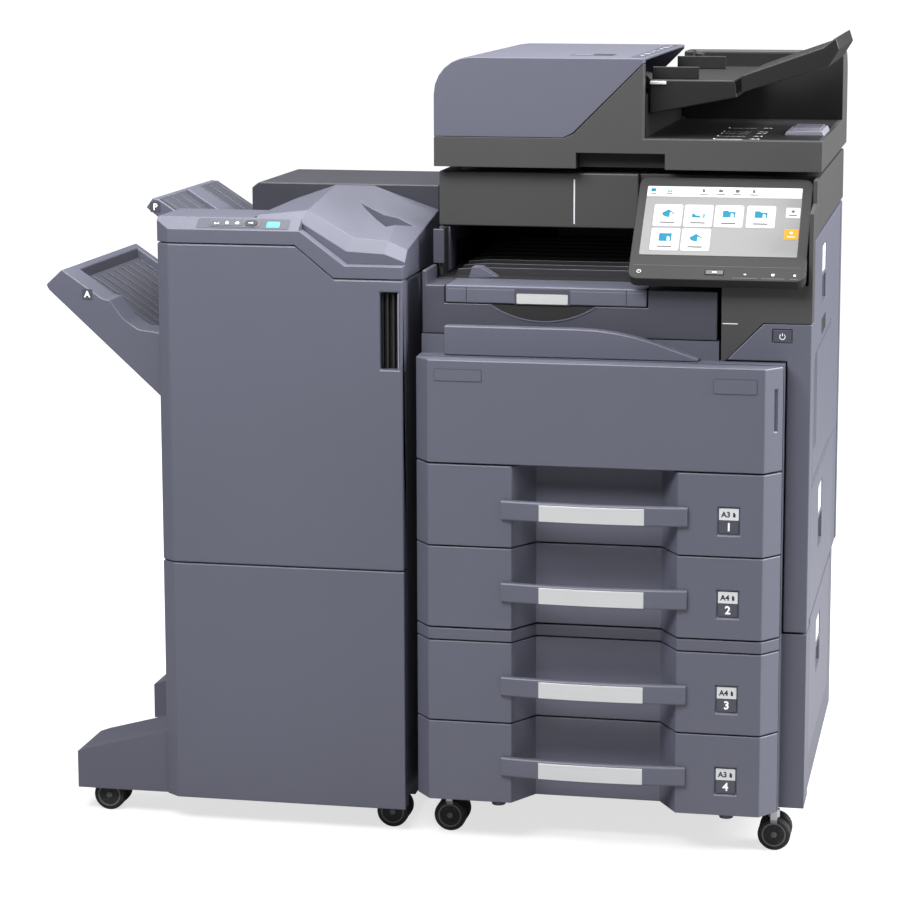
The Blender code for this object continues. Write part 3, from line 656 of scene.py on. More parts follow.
def power_mark(centre, radius, face, paint):
    """A broken ring with a bar in the break."""
    ring = arc(centre, radius, 125, 415, 20) + arc(centre, radius * 0.76, 415, 125, 20)
    stroke = [(centre[0] + radius * u, centre[1] + radius * v)
              for u, v in ((-0.12, 0.2), (0.12, 0.2), (0.12, 1.15), (-0.12, 1.15))]
    return [coat(slab("mark", line, "Z", (0.0, 0.25), face), paint) for line in (ring, stroke)]


print("symbols:", ", ".join(SYMBOLS))

# %% [markdown]
# ## Drawer fronts and their bowed handles
# Each of the four drawers shows a front with bevelled ends and a hand recess, bridged by a
# handle bar that bows forward. The bow follows a rule: its depth falls off with the square of
# the distance from the middle. So the bar is made straight, with stations along its length,
# and a second small node tree bends it. The foil insert is bent by the same tree with the same
# numbers, so it fits the bar everywhere.

# %% A tree that bows a straight bar
def bow_tree():
    tree, given = open_tree("bow_forward", {
        "Geometry": "Geometry", "Middle": "Float", "Half width": "Float", "Depth": "Float",
        "Finish": "Material"})
    link = tree.links.new

    def sum_node(operation, first, second):
        made = tree.nodes.new("ShaderNodeMath")
        made.operation = operation
        for socket, value in zip(made.inputs, (first, second)):
            if isinstance(value, float):
                socket.default_value = value
            else:
                link(value, socket)
        return made.outputs[0]

    position = tree.nodes.new("GeometryNodeInputPosition")
    split = tree.nodes.new("ShaderNodeSeparateXYZ")
    link(position.outputs[0], split.inputs[0])
    reach = sum_node("SUBTRACT", split.outputs["X"], given.outputs["Middle"])
    share = sum_node("DIVIDE", reach, given.outputs["Half width"])
    fall = sum_node("SUBTRACT", sum_node("MULTIPLY", share, share), 1.0)
    offset = tree.nodes.new("ShaderNodeCombineXYZ")
    link(sum_node("MULTIPLY", fall, given.outputs["Depth"]), offset.inputs["Y"])
    moved = tree.nodes.new("GeometryNodeSetPosition")
    link(given.outputs["Geometry"], moved.inputs["Geometry"])
    link(offset.outputs[0], moved.inputs["Offset"])
    return close_tree(tree, given, moved.outputs["Geometry"])


BOW = bow_tree()
HANDLE_X = (137, 419)
HANDLE_RISE = 43          # lower edge of the bar above the drawer's lower edge
HANDLE_H = 30
HANDLE_T = 12
HANDLE_PROUD = 5          # how far its ends stand out from the front
FOIL_X = (196, 355)


def bowed_bar(name, x, section, paint, stations=28):
    """A section of (y, z) points run along x and bowed forward with the handle."""
    rings = []
    for i in range(stations + 1):
        along = x[0] + (x[1] - x[0]) * i / stations
        rings.append([(along, y, z) for y, z in section])
    straight = loft(name, rings)
    middle = at(sum(HANDLE_X) / 2, 0, 0).x
    depth = -box_of("drawer_1_front").y0 - HANDLE_PROUD
    return run_tree(straight, BOW, {"Middle": middle, "Depth": depth * MM, "Finish": paint,
                               "Half width": (HANDLE_X[1] - HANDLE_X[0]) / 2 * MM})


print("bow tree:", len(BOW.nodes), "nodes, depth", round(-box_of("drawer_1_front").y0, 1), "mm")

# %% Four drawer fronts
BEVEL = (24, 30)          # how far a front's ends slant in, and back
FLANGE = 34               # how far back its full width runs
RECESS_X = (152, 404)
RECESS_SLOPE = 30
RECESS_DEPTH = 50
WINDOW_X = (462, 498)
WINDOW_RISE = (31, 76)
PAPER = {1: "A3", 2: "A4", 3: "A4", 4: "A3"}


def front_plan(width, back):
    """A drawer front from above: bevelled ends, a recess, and a narrower body behind."""
    plan = [(0, FLANGE), (0, BEVEL[1]), (BEVEL[0], 0)]
    plan += [(RECESS_X[0], 0), (RECESS_X[0] + RECESS_SLOPE, RECESS_DEPTH),
             (RECESS_X[1] - RECESS_SLOPE, RECESS_DEPTH), (RECESS_X[1], 0)]
    plan += [(width - BEVEL[0], 0), (width, BEVEL[1]), (width, FLANGE)]
    return plan + [(width - 12, FLANGE), (width - 12, back), (16, back), (16, FLANGE)]


def sunk_window(x, z, rim, depth):
    """Cutter for a window whose frame slopes inwards."""
    rings = []
    for inset, y in ((-1.0, -1.0), (0.0, 0.0), (rim, depth)):
        outline = round_rect((x[0] + inset, x[1] - inset), (z[0] + inset, z[1] - inset), 1.5)
        rings.append([(right, y, up) for right, up in outline])
    return loft("window", rings)


def drawer_front(number):
    body = f"drawer_{number}"
    span = box_of(f"{body}_front")
    front = slab("front", front_plan(span.x1, span.y1), "Z", (span.z0, span.z1))
    window_z = [span.z0 + rise for rise in WINDOW_RISE]
    carve(front, sunk_window(WINDOW_X, window_z, 2.5, 4.5))
    front = finish(soften(front, 1.6), body, shell_paint, f"{body}_front")
    front.name = f"{body}_facing"
    low = span.z0 + HANDLE_RISE
    section = round_rect((-HANDLE_PROUD, HANDLE_T - HANDLE_PROUD), (low, low + HANDLE_H), 3.6, 4)
    grip = smooth(bowed_bar("grip", HANDLE_X, section, shell_paint))
    foil_y = (-HANDLE_PROUD - 0.5, -HANDLE_PROUD + 2)
    foil_section = round_rect(foil_y, (low + 1.5, low + HANDLE_H - 3.5), 0.8, 2)
    insert = smooth(bowed_bar("insert", FOIL_X, foil_section, silver_foil, 16))
    attach(f"{body}_handle", body, "lavender_shell", grip, insert)
    face = facing_front(4.3)
    x = (WINDOW_X[0] + 3.4, WINDOW_X[1] - 3.4)
    split = span.z0 + WINDOW_RISE[0] + 23
    middle = sum(x) / 2
    parts = [plate(x, (split + 0.8, window_z[1] - 3.5), 0.6, face, card_paper, (0.0, 1.6)),
             plate(x, (window_z[0] + 3.5, split), 0.6, face, tile_and_shade_paint, (0.0, 1.8)),
             lettering(str(number), 17, (middle, split - 10), face, glowing_white_ink, (1.5, 2.1)),
             lettering(PAPER[number], 11.5, (middle - 4.5, split + 9), face, dark_ink, (1.4, 1.8)),
             symbol("sheet", (6, 7), (middle + 8, split + 9), face, dark_ink, (1.4, 1.8))]
    finish(merge(f"{body}_window", parts), body, None)


for number in range(1, 5):
    drawer_front(number)
print("drawers done, handle stands", HANDLE_RISE, "mm above each lower edge")

# %% [markdown]
# ## Drawer trays
# Behind each front is a thin-walled tray with a zinc lifting plate and two side fences. It is
# seen when the drawer is open, so its floor gets ribs from the grid tree. The CAD tray
# supplies the walls, softened.

# %% Four drawer trays
def drawer_tray(number):
    body = f"drawer_{number}"
    span = box_of(f"{body}_tray")
    finish(soften(copy_of(f"{body}_tray", f"{body}_tray_shell"), 1.0, 2), body, tray_paint,
           f"{body}_tray")
    floor = span.z0 + 5
    rib = soften(block("rib", (span.x0 + 30, span.x0 + 34), (span.y0 + 20, span.y1 - 30),
                       (floor, floor + 3)), 0.8, 2)
    parts = [repeat(rib, tray_paint, 13, (38, 0, 0))]
    for x in (span.x0 + 60, span.x1 - 66):
        parts.append(bar((x, x + 6), (span.y0 + 120, span.y0 + 300), (floor + 3, floor + 60),
                         pale_and_highlight_paint, 1.5))
    parts.append(bar((span.x0 + 70, span.x1 - 70), (span.y0 + 60, span.y1 - 140),
                     (floor + 3.2, floor + 5.2), zinc_paint, 0.6))
    attach(f"{body}_fittings", body, "inner_plastic", *parts)


for number in range(1, 5):
    drawer_tray(number)
print("trays done")

# %% [markdown]
# ## Casings with broken edges
# Every remaining node starts from its CAD solid, because its shape is already right. The copy
# is welded, its edges are rounded and it gets its plastic. Big outer casings have a rounding
# of two millimetres or so, small parts inside have less. Details are added on top later.

# %% Soft-edged casings
CASINGS = {
    "machine": {
        cabinet_shell: {"main_frame": 1.5, "feeder_frame": 1.5, "finisher_cabinet": 2.0,
                        "rear_cover": 2.0},
        shell_paint: {"right_column_cover": 2.0, "toner_cover": 4.0, "finisher_lower_panel": 2.0,
                      "finisher_top_cover": 2.5, "sub_tray": 2.0},
        # The duct takes the darkened lavender of painted shade.
        duct_shade_paint: {"transport_duct": 2.5},
        slate_and_shade_paint: {"bridge_unit": 2.0},
        dark_paint: {"upper_right_cover": 2.0, "scanner_housing": 2.5},
        black_paint: {"output_tray": 1.0, "power_inlet": 0.6},
        glass_paint: {"platen_glass": 0.4}},
    "front_door": {shell_paint: {"front_door": 3.0}},
    "bridge_cover": {shell_paint: {"bridge_cover": 2.5}},
    "scan_carriage": {black_paint: {"scan_carriage": 1.0}},
    "power_button": {tile_and_shade_paint: {"power_button": 1.0}},
    "toner_bottle": {tray_paint: {"toner_bottle": 1.0}},
    "drum": {green_paint: {"drum": 0.5}},
    "fuser_roller": {fuser_paint: {"fuser_roller": 0.5}},
    "side_cover": {shell_paint: {"side_cover": 2.0}},
    "mp_tray": {shell_paint: {"mp_tray": 2.0}},
    "lower_side_cover": {shell_paint: {"lower_side_cover": 2.0}},
    "feeder_side_cover": {shell_paint: {"feeder_side_cover": 2.0}},
    "document_processor": {dark_paint: {"dp_base": 4.0}, tray_dark: {"document_tray": 2.5}},
    "feed_cover": {shell_paint: {"dp_feed_cover": 3.0}},
    "tray_extension": {tray_dark: {"tray_extension": 2.0}},
    "guide_front": {tray_dark: {"guide_front": 1.2}},
    "guide_rear": {tray_dark: {"guide_rear": 1.2}},
    "pickup_roller": {feed_rubber: {"pickup_roller": 0.6}},
    "touch_panel": {bezel_paint: {"touch_panel": 3.0}},
    "home_key": {dark_paint: {"home_key": 0.6}},
    "finisher_door": {shell_paint: {"finisher_door": 3.0}},
    "start_button": {cyan_paint: {"finisher_start_button": 3.5}},
    "main_tray": {shell_paint: {"main_tray": 2.0}}}


def casing(node, body, paint, width, segments=3):
    return finish(soften(copy_of(node, f"{node}_casing"), width, segments), body, paint, node)


for body, paints in CASINGS.items():
    for paint, nodes in paints.items():
        for node, width in nodes.items():
            casing(node, body, paint, width)
print("casings:", sum(len(nodes) for paints in CASINGS.values() for nodes in paints.values()))

# %% [markdown]
# ## Wheels
# The four casters under the paper feeder have twin wheels: a rubber tread over a nylon hub
# with a raised cap. The finisher's four wheels are the same but do not swivel. A wheel is a
# turned profile, so its tread, rim groove and cap come from one line of points.

# %% Twin wheels and forks
WHEEL_GAP = 14


def twin_wheel(name, centre, width, gap, radius=25):
    """Two wheels on one axle along y; centre is (x, z, y)."""
    parts = []
    half = (width - gap) / 2
    for side in (-1, 1):
        middle = (centre[0], centre[1], centre[2] + side * (gap + half) / 2)
        edge = half / 2
        tread = [(radius * 0.72, -edge), (radius - 3, -edge), (radius - 1, -edge + 1.2),
                 (radius, -edge + 3), (radius, edge - 3), (radius - 1, edge - 1.2),
                 (radius - 3, edge), (radius * 0.72, edge)]
        parts.append(coat(smooth(turned(name, tread, "Y", middle, 48)), tread_rubber))
        outer = [(0.4, edge + 0.6), (4, edge + 0.6), (5.5, edge - 0.8),
                 (radius * 0.55, edge - 1.6), (radius * 0.66, edge + 0.2),
                 (radius * 0.74, edge + 0.2)]
        hub = [(reach, -along) for reach, along in outer] + outer[::-1]
        parts.append(coat(smooth(turned(name, hub, "Y", middle, 48)), hub_paint))
    return merge(name, parts)


def wheel_centre(node):
    span = box_of(node)
    return ((span.x0 + span.x1) / 2, (span.z0 + span.z1) / 2, (span.y0 + span.y1) / 2)


for number in range(1, 5):
    for body in (f"finisher_wheels_{number}", f"caster_{number}_wheels"):
        span = box_of(body)
        wheels = twin_wheel(f"{body}_pair", wheel_centre(body), span.y1 - span.y0, WHEEL_GAP)
        finish(wheels, body, None, body)
    casing(f"caster_{number}_fork", f"caster_{number}_fork", zinc_paint, 1.2)
print("wheel pairs:", 8)

# %% [markdown]
# ## Touch panel
# The operator works from a tilted panel with a large colour screen. Its face is a slope, so one
# more placing function maps (right, up the slope, out of it). The lit screen is a thin plate
# set in the bezel, and its tiles, icons and status bars are thin plates on top of that, because
# printed shapes with real edges stay sharp at any distance. The words are only short bars.

# %% Screen, tiles and keys
def facing_slope(y, z, angle):
    """A face that leans back by an angle from flat; up runs up the slope."""
    cos, sin = math.cos(angle), math.sin(angle)
    return lambda right, up, out: at(right, y + up * cos - out * sin, z + up * sin + out * cos)


PANEL_FOOT = (25, 878)    # y and z of the lower front edge
PANEL_TILT = math.radians(43.6)
PANEL_FACE = facing_slope(*PANEL_FOOT, PANEL_TILT)
TILE = 43


def centred(middle, size):
    return (middle - size / 2, middle + size / 2)


def dash(centre, size, face, paint, out=(0.0, 0.3)):
    """A short bar where a word or a lamp would be."""
    return plate(centred(centre[0], size[0]), centred(centre[1], size[1]), min(size) * 0.3,
                 face, paint, out)


def tile(centre, kind):
    """A white tile with a blue icon and a bar for its caption."""
    x, s = centre
    return [plate(centred(x, TILE), centred(s, TILE), 3, PANEL_FACE, screen_white, (0.4, 0.9)),
            symbol(kind, (19, 15), (x, s + 4), PANEL_FACE, screen_blue, (0.8, 1.3)),
            symbol("sheet", (8, 8), (x + 5, s + 1), PANEL_FACE, screen_white, (1.2, 1.5)),
            dash((x, s - 14), (22, 2.4), PANEL_FACE, screen_grey, (0.8, 1.2))]


shown = [plate((335, 570), (46, 181), 2, PANEL_FACE, screen_field, (-0.4, 0.5)),
         plate((335.5, 569.5), (160.5, 180.5), 1.5, PANEL_FACE, screen_white, (0.3, 0.8))]
for ink, width, caption, icons in (
        (screen_blue, 7, 9, ((344.5, "box"), (369.5, "tray"))),
        (screen_grey, 6, 13, ((421, "sheet"), (447, "folder"), (472, "box"), (497, "sheet")))):
    for x, kind in icons:
        shown.append(symbol(kind, (width, 6), (x, 173), PANEL_FACE, ink, (0.7, 1.1)))
        shown.append(dash((x, 166), (caption, 1.6), PANEL_FACE, screen_grey, (0.7, 1.1)))
for s, tiles in ((123, ((371, "drop"), (417, "tray"), (463, "folder"), (511, "folder"))),
                 (76, ((371, "box"), (417, "drop")))):
    for x, kind in tiles:
        shown += tile((x, s), kind)
for s, paint, mark in ((132, screen_white, screen_grey), (90, screen_amber, screen_white)):
    shown.append(plate(centred(558.5, 21), centred(s, 20), 2, PANEL_FACE, paint, (0.4, 0.9)))
    shown.append(symbol("drop", (6, 6), (558.5, s + 3), PANEL_FACE, mark, (0.8, 1.2)))
    shown.append(dash((558.5, s - 5), (12, 1.8), PANEL_FACE, mark, (0.8, 1.2)))
attach("touch_panel_screen", "touch_panel", "dark_shell", *shown)

marks = [dash((453, 26), (250, 0.8), PANEL_FACE, screen_grey, (-0.1, 0.2))]
marks += power_mark((338, 14), 3.2, PANEL_FACE, glowing_white_ink)
for x, kind in ((496, "arrow"), (537, "box"), (569, "drop")):
    marks.append(symbol(kind, (4, 4), (x, 12), PANEL_FACE, glowing_white_ink, (0.0, 0.25)))
for x, length in ((496, 38), (537, 34), (568, 11)):
    marks.append(dash((x, 4.6), (length, 1.6), PANEL_FACE, screen_grey, (0.0, 0.3)))
attach("touch_panel_marks", "touch_panel", "dark_shell", *marks)
attach("home_key_mark", "home_key", "dark_shell",
       dash((450.5, 14.5), (7, 1.6), PANEL_FACE, glowing_white_ink, (0.8, 1.0)))
print("screen parts:", len(shown), "marks:", len(marks))

# %% [markdown]
# ## Engine front: door, bulge and column
# The door and the curved toner cover are large plain mouldings with soft edges. Two shallow frames
# on the door stand where badges would be, and are left blank; the darker ring round each is
# painted shade of a groove. The right-hand column holds the power key with its ring-and-bar mark.
# A white line crosses the dark cover.

# %% Blank badges, power key and line
front = facing_front(0)
# The darker ring round each frame is painted shade of a groove.
for name, x, z in (("left", (34, 107), (719, 738)), ("right", (455, 520), (712, 735))):
    attach(f"door_badge_{name}", "front_door", "lavender_shell",
           plate(x, z, 2.5, front, tile_and_shade_paint, (-0.6, 0.5)),
           plate((x[0] + 1, x[1] - 1), (z[0] + 1, z[1] - 1), 2, front, shell_paint, (0.2, 0.9)))

key = box_of("power_button")
key_face = facing_front(key.y0)
key_middle = ((key.x0 + key.x1) / 2, (key.z0 + key.z1) / 2 - 0.6)
attach("power_mark", "power_button", "dark_shell",
       *power_mark(key_middle, 4.6, key_face, glowing_white_ink))

column = box_of("upper_right_cover")
attach("column_line", "machine", "dark_shell",
       plate((461, 484), centred(809, 1.6), 0.5, facing_front(column.y0), bright_line,
             (-0.3, 0.4)))
scanner = box_of("scanner_housing")
attach("scanner_line", "machine", "dark_shell",
       plate(centred(216, 2.2), (939, 1008), 0.6, facing_front(scanner.y0), bright_line,
             (-0.3, 0.5)))
print("power key spans", [round(value, 1) for value in key])

# %% [markdown]
# ## Output tray and bridge cover
# Paper lands on a black tray with a fan of low ribs that keep the sheets from sticking. The ribs
# run from left to right, one behind the other, so the grid tree repeats a single rib. The cover in
# front of them has a pale pull plate in a frame darkened with painted shade, a pale line of
# painted highlight along its top, and, below it, a finger pocket drawn as a flat near-black plate
# of painted shadow.

# %% Ribs, stops, pull plate and pocket
tray = box_of("output_tray")
rib = soften(slab("rib", [(tray.x0 + 20, 855), (tray.x0 + 26, 868), (tray.x0 + 60, 871),
                          (tray.x1 - 60, 871), (tray.x1 - 12, 866), (tray.x1 - 12, 855)],
                  "Y", (170, 175)), 1.2, 2)
attach("output_ribs", "machine", "inner_plastic", repeat(rib, tray_paint, 9, (0, 43, 1.2)))
stop = soften(slab("stop", [(tray.x0 + 46, 856), (tray.x0 + 52, 874), (tray.x0 + 66, 874),
                            (tray.x0 + 92, 858)], "Y", (150, 158)), 1.0, 2)
attach("output_stops", "machine", "lavender_shell", repeat(stop, shell_paint, 2, (0, 16, 0)))

lid = box_of("bridge_cover")
lid_face = facing_front(lid.y0)
# The darker frame round the pull plate is painted shade of its recess.
slot_frame = plate((146, 231), (829.5, 853), 2, lid_face, tile_and_shade_paint, (-0.3, 0.6))
pull = plate((149.5, 227.5), (831, 846), 1.5, lid_face, silver_foil, (0.4, 1.6))
groove = [dash((x, (lid.z0 + lid.z1) / 2), (1.0, lid.z1 - lid.z0 - 5), lid_face, shadow_paint,
               (-0.1, 0.25)) for x in (72, 316)]
# A pale line along the cover's top: painted highlight on its edge.
edge = dash(((lid.x0 + lid.x1) / 2, lid.z1 - 6), (lid.x1 - lid.x0 - 8, 0.9), lid_face,
            pale_and_highlight_paint, (-0.1, 0.2))
attach("bridge_pull_plate", "bridge_cover", "dark_shell", slot_frame, pull, edge, *groove)

bridge = box_of("bridge_unit")
POCKET_CENTRE = (189, 951)
POCKET_TOP = 828.5
bridge_face = facing_front(bridge.y0)
below = arc(POCKET_CENTRE, 146, 236.5, 303.5, 18)
lens = [(109, POCKET_TOP), *below, (269, POCKET_TOP)]
# The pocket is a flat near-black plate: painted shadow where the recess would be.
pocket = coat(slab("finger_pocket", lens, "Z", (-0.4, 0.5), bridge_face), shadow_paint)
rim = coat(slab("pocket_rim", below + arc(POCKET_CENTRE, 148, 303.5, 236.5, 18), "Z",
                (-0.2, 1.2), bridge_face), shell_paint)
attach("bridge_finger_pocket_shadow", "machine", "inner_plastic", pocket, rim)
# A black wall and a near-black sheet fill the gap at the left post with painted shade; the slate
# bar is the post's face.
attach("left_post_painted_shade", "machine", "inner_plastic",
       bar((12, 17), (150, 556), (858, 932), black_paint, 1.2),
       bar((2, 130), (556, 558), (858, 932), shadow_paint),
       bar((3.2, 20), (143, 150), (879, 932), slate_and_shade_paint, 1.2))
print("output tray top", round(tray.z1, 1), "lid front", round(lid.y0, 1))

# %% [markdown]
# ## Document processor
# Originals are fed from an upper tray and land below it. The feed cover carries a pale strip
# of printed hints near the mouth and a latch in a shallow frame. The space below the trays is
# lined in black, and the floor where sheets land has printed size marks and a ribbed stop.

# %% Latch, hint strip, size marks and lining
cover = box_of("dp_feed_cover")
top = facing_up(cover.z1)
# The darker frame round the latch is painted shade of its recess.
latch = [plate((198, 267), (255, 299), 3, top, tile_and_shade_paint, (-0.5, 0.3)),
         plate((201, 232), (258, 296), 2, top, shell_paint, (0.2, 0.8)),
         plate((234, 264), (258, 296), 2, top, black_paint, (0.2, 0.8)),
         plate((205, 228), (263, 266), 1, top, grey_ink, (0.7, 1.1))]
attach("feed_cover_latch", "feed_cover", "lavender_shell", *latch)
strip_x = (cover.x1 - 25, cover.x1 - 4)
hints = [plate(strip_x, (205, 674), 7, top, tile_and_shade_paint, (-0.3, 0.5))]
for i, kind in enumerate(("sheet", "folder", "arrow", "tray", "sheet", "box", "arrow")):
    hints.append(symbol(kind, (9, 22), (sum(strip_x) / 2, 262 + i * 58), top, grey_ink,
                        (0.4, 0.8)))
attach("feed_cover_hints", "feed_cover", "lavender_shell", *hints)

LANDING_Z = 1073
landing = facing_up(LANDING_Z)
printed_marks = []
for y in (190, 246, 302, 338, 420):
    printed_marks.append(dash((452, y), (44, 1.6), landing, glowing_white_ink, (-0.1, 0.3)))
    printed_marks.append(dash((430, y + 9), (1.6, 16), landing, glowing_white_ink, (-0.1, 0.3)))
    printed_marks.append(lettering("A3" if y > 300 else "A4", 13, (492, y + 9), landing,
                                   glowing_white_ink, (-0.1, 0.3)))
attach("landing_size_marks", "document_processor", "dark_shell", *printed_marks)
flap = soften(slab("flap", [(530, 1072.5), (532, 1079), (588, 1081), (592, 1072.5)], "Y",
                   (285, 408)), 1.5, 2)
flap_ribs = repeat(soften(block("flap_rib", (540, 584), (292, 294), (1079, 1083)), 0.6, 2),
                   pale_and_highlight_paint, 9, (0, 13.5, 0))
attach("landing_stop", "document_processor", "lavender_shell", coat(flap, pale_and_highlight_paint), flap_ribs)

# Black plates line the floor, back and side below the trays; the near-black bar at the front below
# the landing floor is painted shadow.
inner = [bar((327, 590), (191, 646), (1072.6, 1073.3), tray_dark),
         bar((334, 596), (645.8, 646.9), (1074, 1183), tray_dark),
         bar((325.2, 326.4), (191, 640), (1074, 1140), tray_dark),
         bar((223, 358), (189.5, 195.5), (1028, 1050), shadow_paint),
         bar((329, 354), (209, 214), (1154, 1159), bright_line, 1.0)]
for x, y, z in ((340, 560, 1190), (352, 590, 1186)):
    inner.append(bar((x, x + 16), (y, y + 40), (z - 30, z), tray_dark, 3, 3))
attach("processor_lining", "document_processor", "dark_shell", *inner)
print("feed cover top", round(cover.z1, 1))

# %% [markdown]
# ## Finisher front
# The finisher sorts and staples. Its tall door has a hand slot at the right edge, with a
# near-black back of painted shadow, black strips inside and a pale rim of painted highlight, and a
# notch under it. On the slope above the door lies a dark strip with a small display, a black key
# beside it and the cyan start key.

# %% Hand slot, control strip and display
SLOT_X = (-53, -24)
SLOT_Z = (730, 848)
# The slot's back is a near-black plate of painted shadow, and its pale rim is painted highlight.
lining = [bar((SLOT_X[0] - 1, SLOT_X[1] + 1), (40, 44.5), (SLOT_Z[0] - 1, SLOT_Z[1] + 1),
              shadow_paint)]
for x, width in ((SLOT_X[0] + 1, 2), (SLOT_X[0] + 8, 3), (SLOT_X[0] + 17, 3)):
    lining.append(bar((x, x + width), (30, 41), (SLOT_Z[0] + 2, SLOT_Z[1] - 2), black_paint, 0.6))
lining.append(bar((SLOT_X[1] - 2.2, SLOT_X[1] + 0.4), (20.4, 40), (SLOT_Z[0] + 1, SLOT_Z[1] - 1),
                  pale_and_highlight_paint, 0.8))
attach("finisher_hand_slot", "finisher_door", "inner_plastic", *lining)

BROW_FOOT = (20, 938)     # y and z where the slope above the door starts
BROW_RUN, BROW_RISE = 22, 17
STRIP_FACE = facing_slope(*BROW_FOOT, math.atan2(BROW_RISE, BROW_RUN))
strip_parts = [plate((-340, -195), (3, 25), 3, STRIP_FACE, slate_and_shade_paint, (-0.4, 0.4)),
               plate((-322, -240), (6, 23), 7, STRIP_FACE, tile_and_shade_paint, (0.4, 0.9)),
               plate((-319, -268), (8.5, 20.5), 4, STRIP_FACE, slate_and_shade_paint, (0.8, 1.3)),
               plate((-265, -245), (8.5, 20.5), 5.5, STRIP_FACE, black_paint, (0.8, 1.8))]
for i, kind in enumerate(("tray", "sheet", "drop")):
    strip_parts.append(symbol(kind, (7, 6), (-309 + i * 16, 14.5), STRIP_FACE, glowing_white_ink,
                              (1.2, 1.5)))
strip_parts.append(symbol("arrow", (8, 5), (-255, 14.5), STRIP_FACE, glowing_white_ink, (1.7, 2.0)))
attach("finisher_control_strip", "machine", "dark_shell", *strip_parts)
print("control strip parts:", len(strip_parts))

# %% [markdown]
# ## Finisher trays
# Stapled sets drop on the lower tray, single sheets on the upper one. Both slope up to the left
# and have a raised middle with ribs beside it, and the lower one is scooped out near the
# machine so that a hand can reach under the sheets. A letter on each tip names the tray.

# %% Ribs and letters on the trays
def tray_ribs(name, body, low, high, y, count):
    """Ribs along a sloping tray; low and high are (x, z) of its ends."""
    outline = [(low[0], low[1] - 3), (low[0], low[1] + 2.5), (high[0], high[1] + 2.5),
               (high[0], high[1] - 3)]
    rib = soften(slab("rib", outline, "Y", (y[0], y[0] + 4)), 0.9, 2)
    step = (y[1] - y[0] - 4) / (count - 1)
    attach(name, body, "lavender_shell", repeat(rib, slate_and_shade_paint, count, (0, step, 0)))


def tray_skin(name, body, outline, y):
    """A darker copy of the lavender laid where the sheets land: painted shade on the tray top."""
    finish(slab(name, outline, "Y", y), body, slate_and_shade_paint)


tray_skin("sub_tray_painted_shade", "machine", [(-441, 967), (-343, 903.4), (-343, 905), (-441, 969)],
          (164, 481))
tray_ribs("sub_tray_ribs", "machine", (-438, 965), (-350, 908), (176, 470), 8)
tray_skin("main_tray_painted_shade", "main_tray", [(-565, 840), (-411, 743), (-411, 745), (-565, 842)],
          (136, 424))
tray_ribs("main_tray_ribs", "main_tray", (-558, 838), (-418, 750), (146, 416), 9)
ridge = soften(slab("ridge", [(-440, 964), (-436, 974), (-352, 920), (-350, 905)], "Y",
                    (290, 352)), 2.0, 3)
ridge.name = "sub_tray_ridge"
finish(ridge, "machine", shell_paint)


def tray_letter(name, text, body, centre, face):
    tile_plate = plate(centred(centre[0], 17), centred(centre[1], 17), 3, face, tile_and_shade_paint,
                       (-0.3, 0.4))
    letter = lettering(text, 14, centre, face, glowing_white_ink, (0.3, 0.7))
    attach(name, body, "lavender_shell", tile_plate, letter)


tray_letter("main_tray_letter", "A", "main_tray", (-534, 826),
            facing_front(box_of("main_tray").y0))
tray_letter("sub_tray_letter", "P", "machine", (-448, 956), facing_front(box_of("sub_tray").y0))
print("tray ribs, skins and letters done")

# %% [markdown]
# ## Jam cover
# The cover over the stapler's paper path is one folded sheet: a ridge runs back, a bevel runs
# along its front edge, and a wedge-shaped well for two fingers is sunk beside the ridge. It is
# lofted from three rings of points, so that every fold stays a straight crease.

# %% A folded cover with a finger well
FRONT_RING = [(-255, 950), (-184, 950), (-111, 906), (-52, 903), (-20, 891)]
BEVEL_RING = [(-255, 957), (-176, 966), (-104, 925), (-50, 921), (-20, 908)]
REAR_RING = [(-255, 960), (-189, 983), (-126, 983), (-72, 964), (-20, 946)]
rings = []
for y, ring in ((46.5, FRONT_RING), (66, BEVEL_RING), (298, REAR_RING)):
    rings.append([(x, y, z) for x, z in ring] + [(-20, y, 865), (-255, y, 865)])
folded = loft("folded_cover", rings)
carve(folded, block("hollow", (-251, -24), (50, 294), (850, 888)))
WELL = [(-126, 207), (-70, 137), (-33, 177)]
well = loft("well", [[(x, y, z) for (x, y), z in zip(WELL, (928, 931, 920))],
                     [(x, y, 1010) for x, y in WELL]])
carve(folded, well)
jam = finish(soften(folded, 1.2, 2, 10, 16), "jam_cover", shell_paint, "finisher_jam_cover")
jam.name = "jam_cover_folded"
print("jam cover faces:", len(jam.data.polygons))

# %% [markdown]
# ## Right-hand side
# Three covers on the right give access to the paper path. Each has a hand grip: a well with a pale
# label plate above a pocket painted near-black as shadow. The wells are already cut in the CAD
# covers, so the painted shadow and the plate are set in them. The folding tray has a grip groove
# at its front end, darkened with painted shade.

# %% Grips and side seams
GRIP_Y = (266, 352)
GRIP_FLOOR = 589          # x of the bottom of each well
for body, low, high in (("side_cover", 813, 903), ("lower_side_cover", 424, 522),
                        ("feeder_side_cover", 222, 307)):
    split = low + (high - low) * 0.52
    well = facing_right(GRIP_FLOOR)
    # The lower plate is painted shadow in the pocket.
    parts = [plate((GRIP_Y[0] + 0.5, GRIP_Y[1] - 0.5), (low + 0.5, split), 2, well,
                   shadow_paint, (-0.4, 0.5)),
             plate((GRIP_Y[0] + 2, GRIP_Y[1] - 2), (split + 1, high - 2), 2, well, bright_line,
                   (-0.4, 3.2)),
             bar((GRIP_FLOOR, GRIP_FLOOR + 5), GRIP_Y, (split - 4, split + 1), shell_paint, 1.2)]
    attach(f"{body}_grip", body, "lavender_shell", *parts)
side = box_of("side_cover")
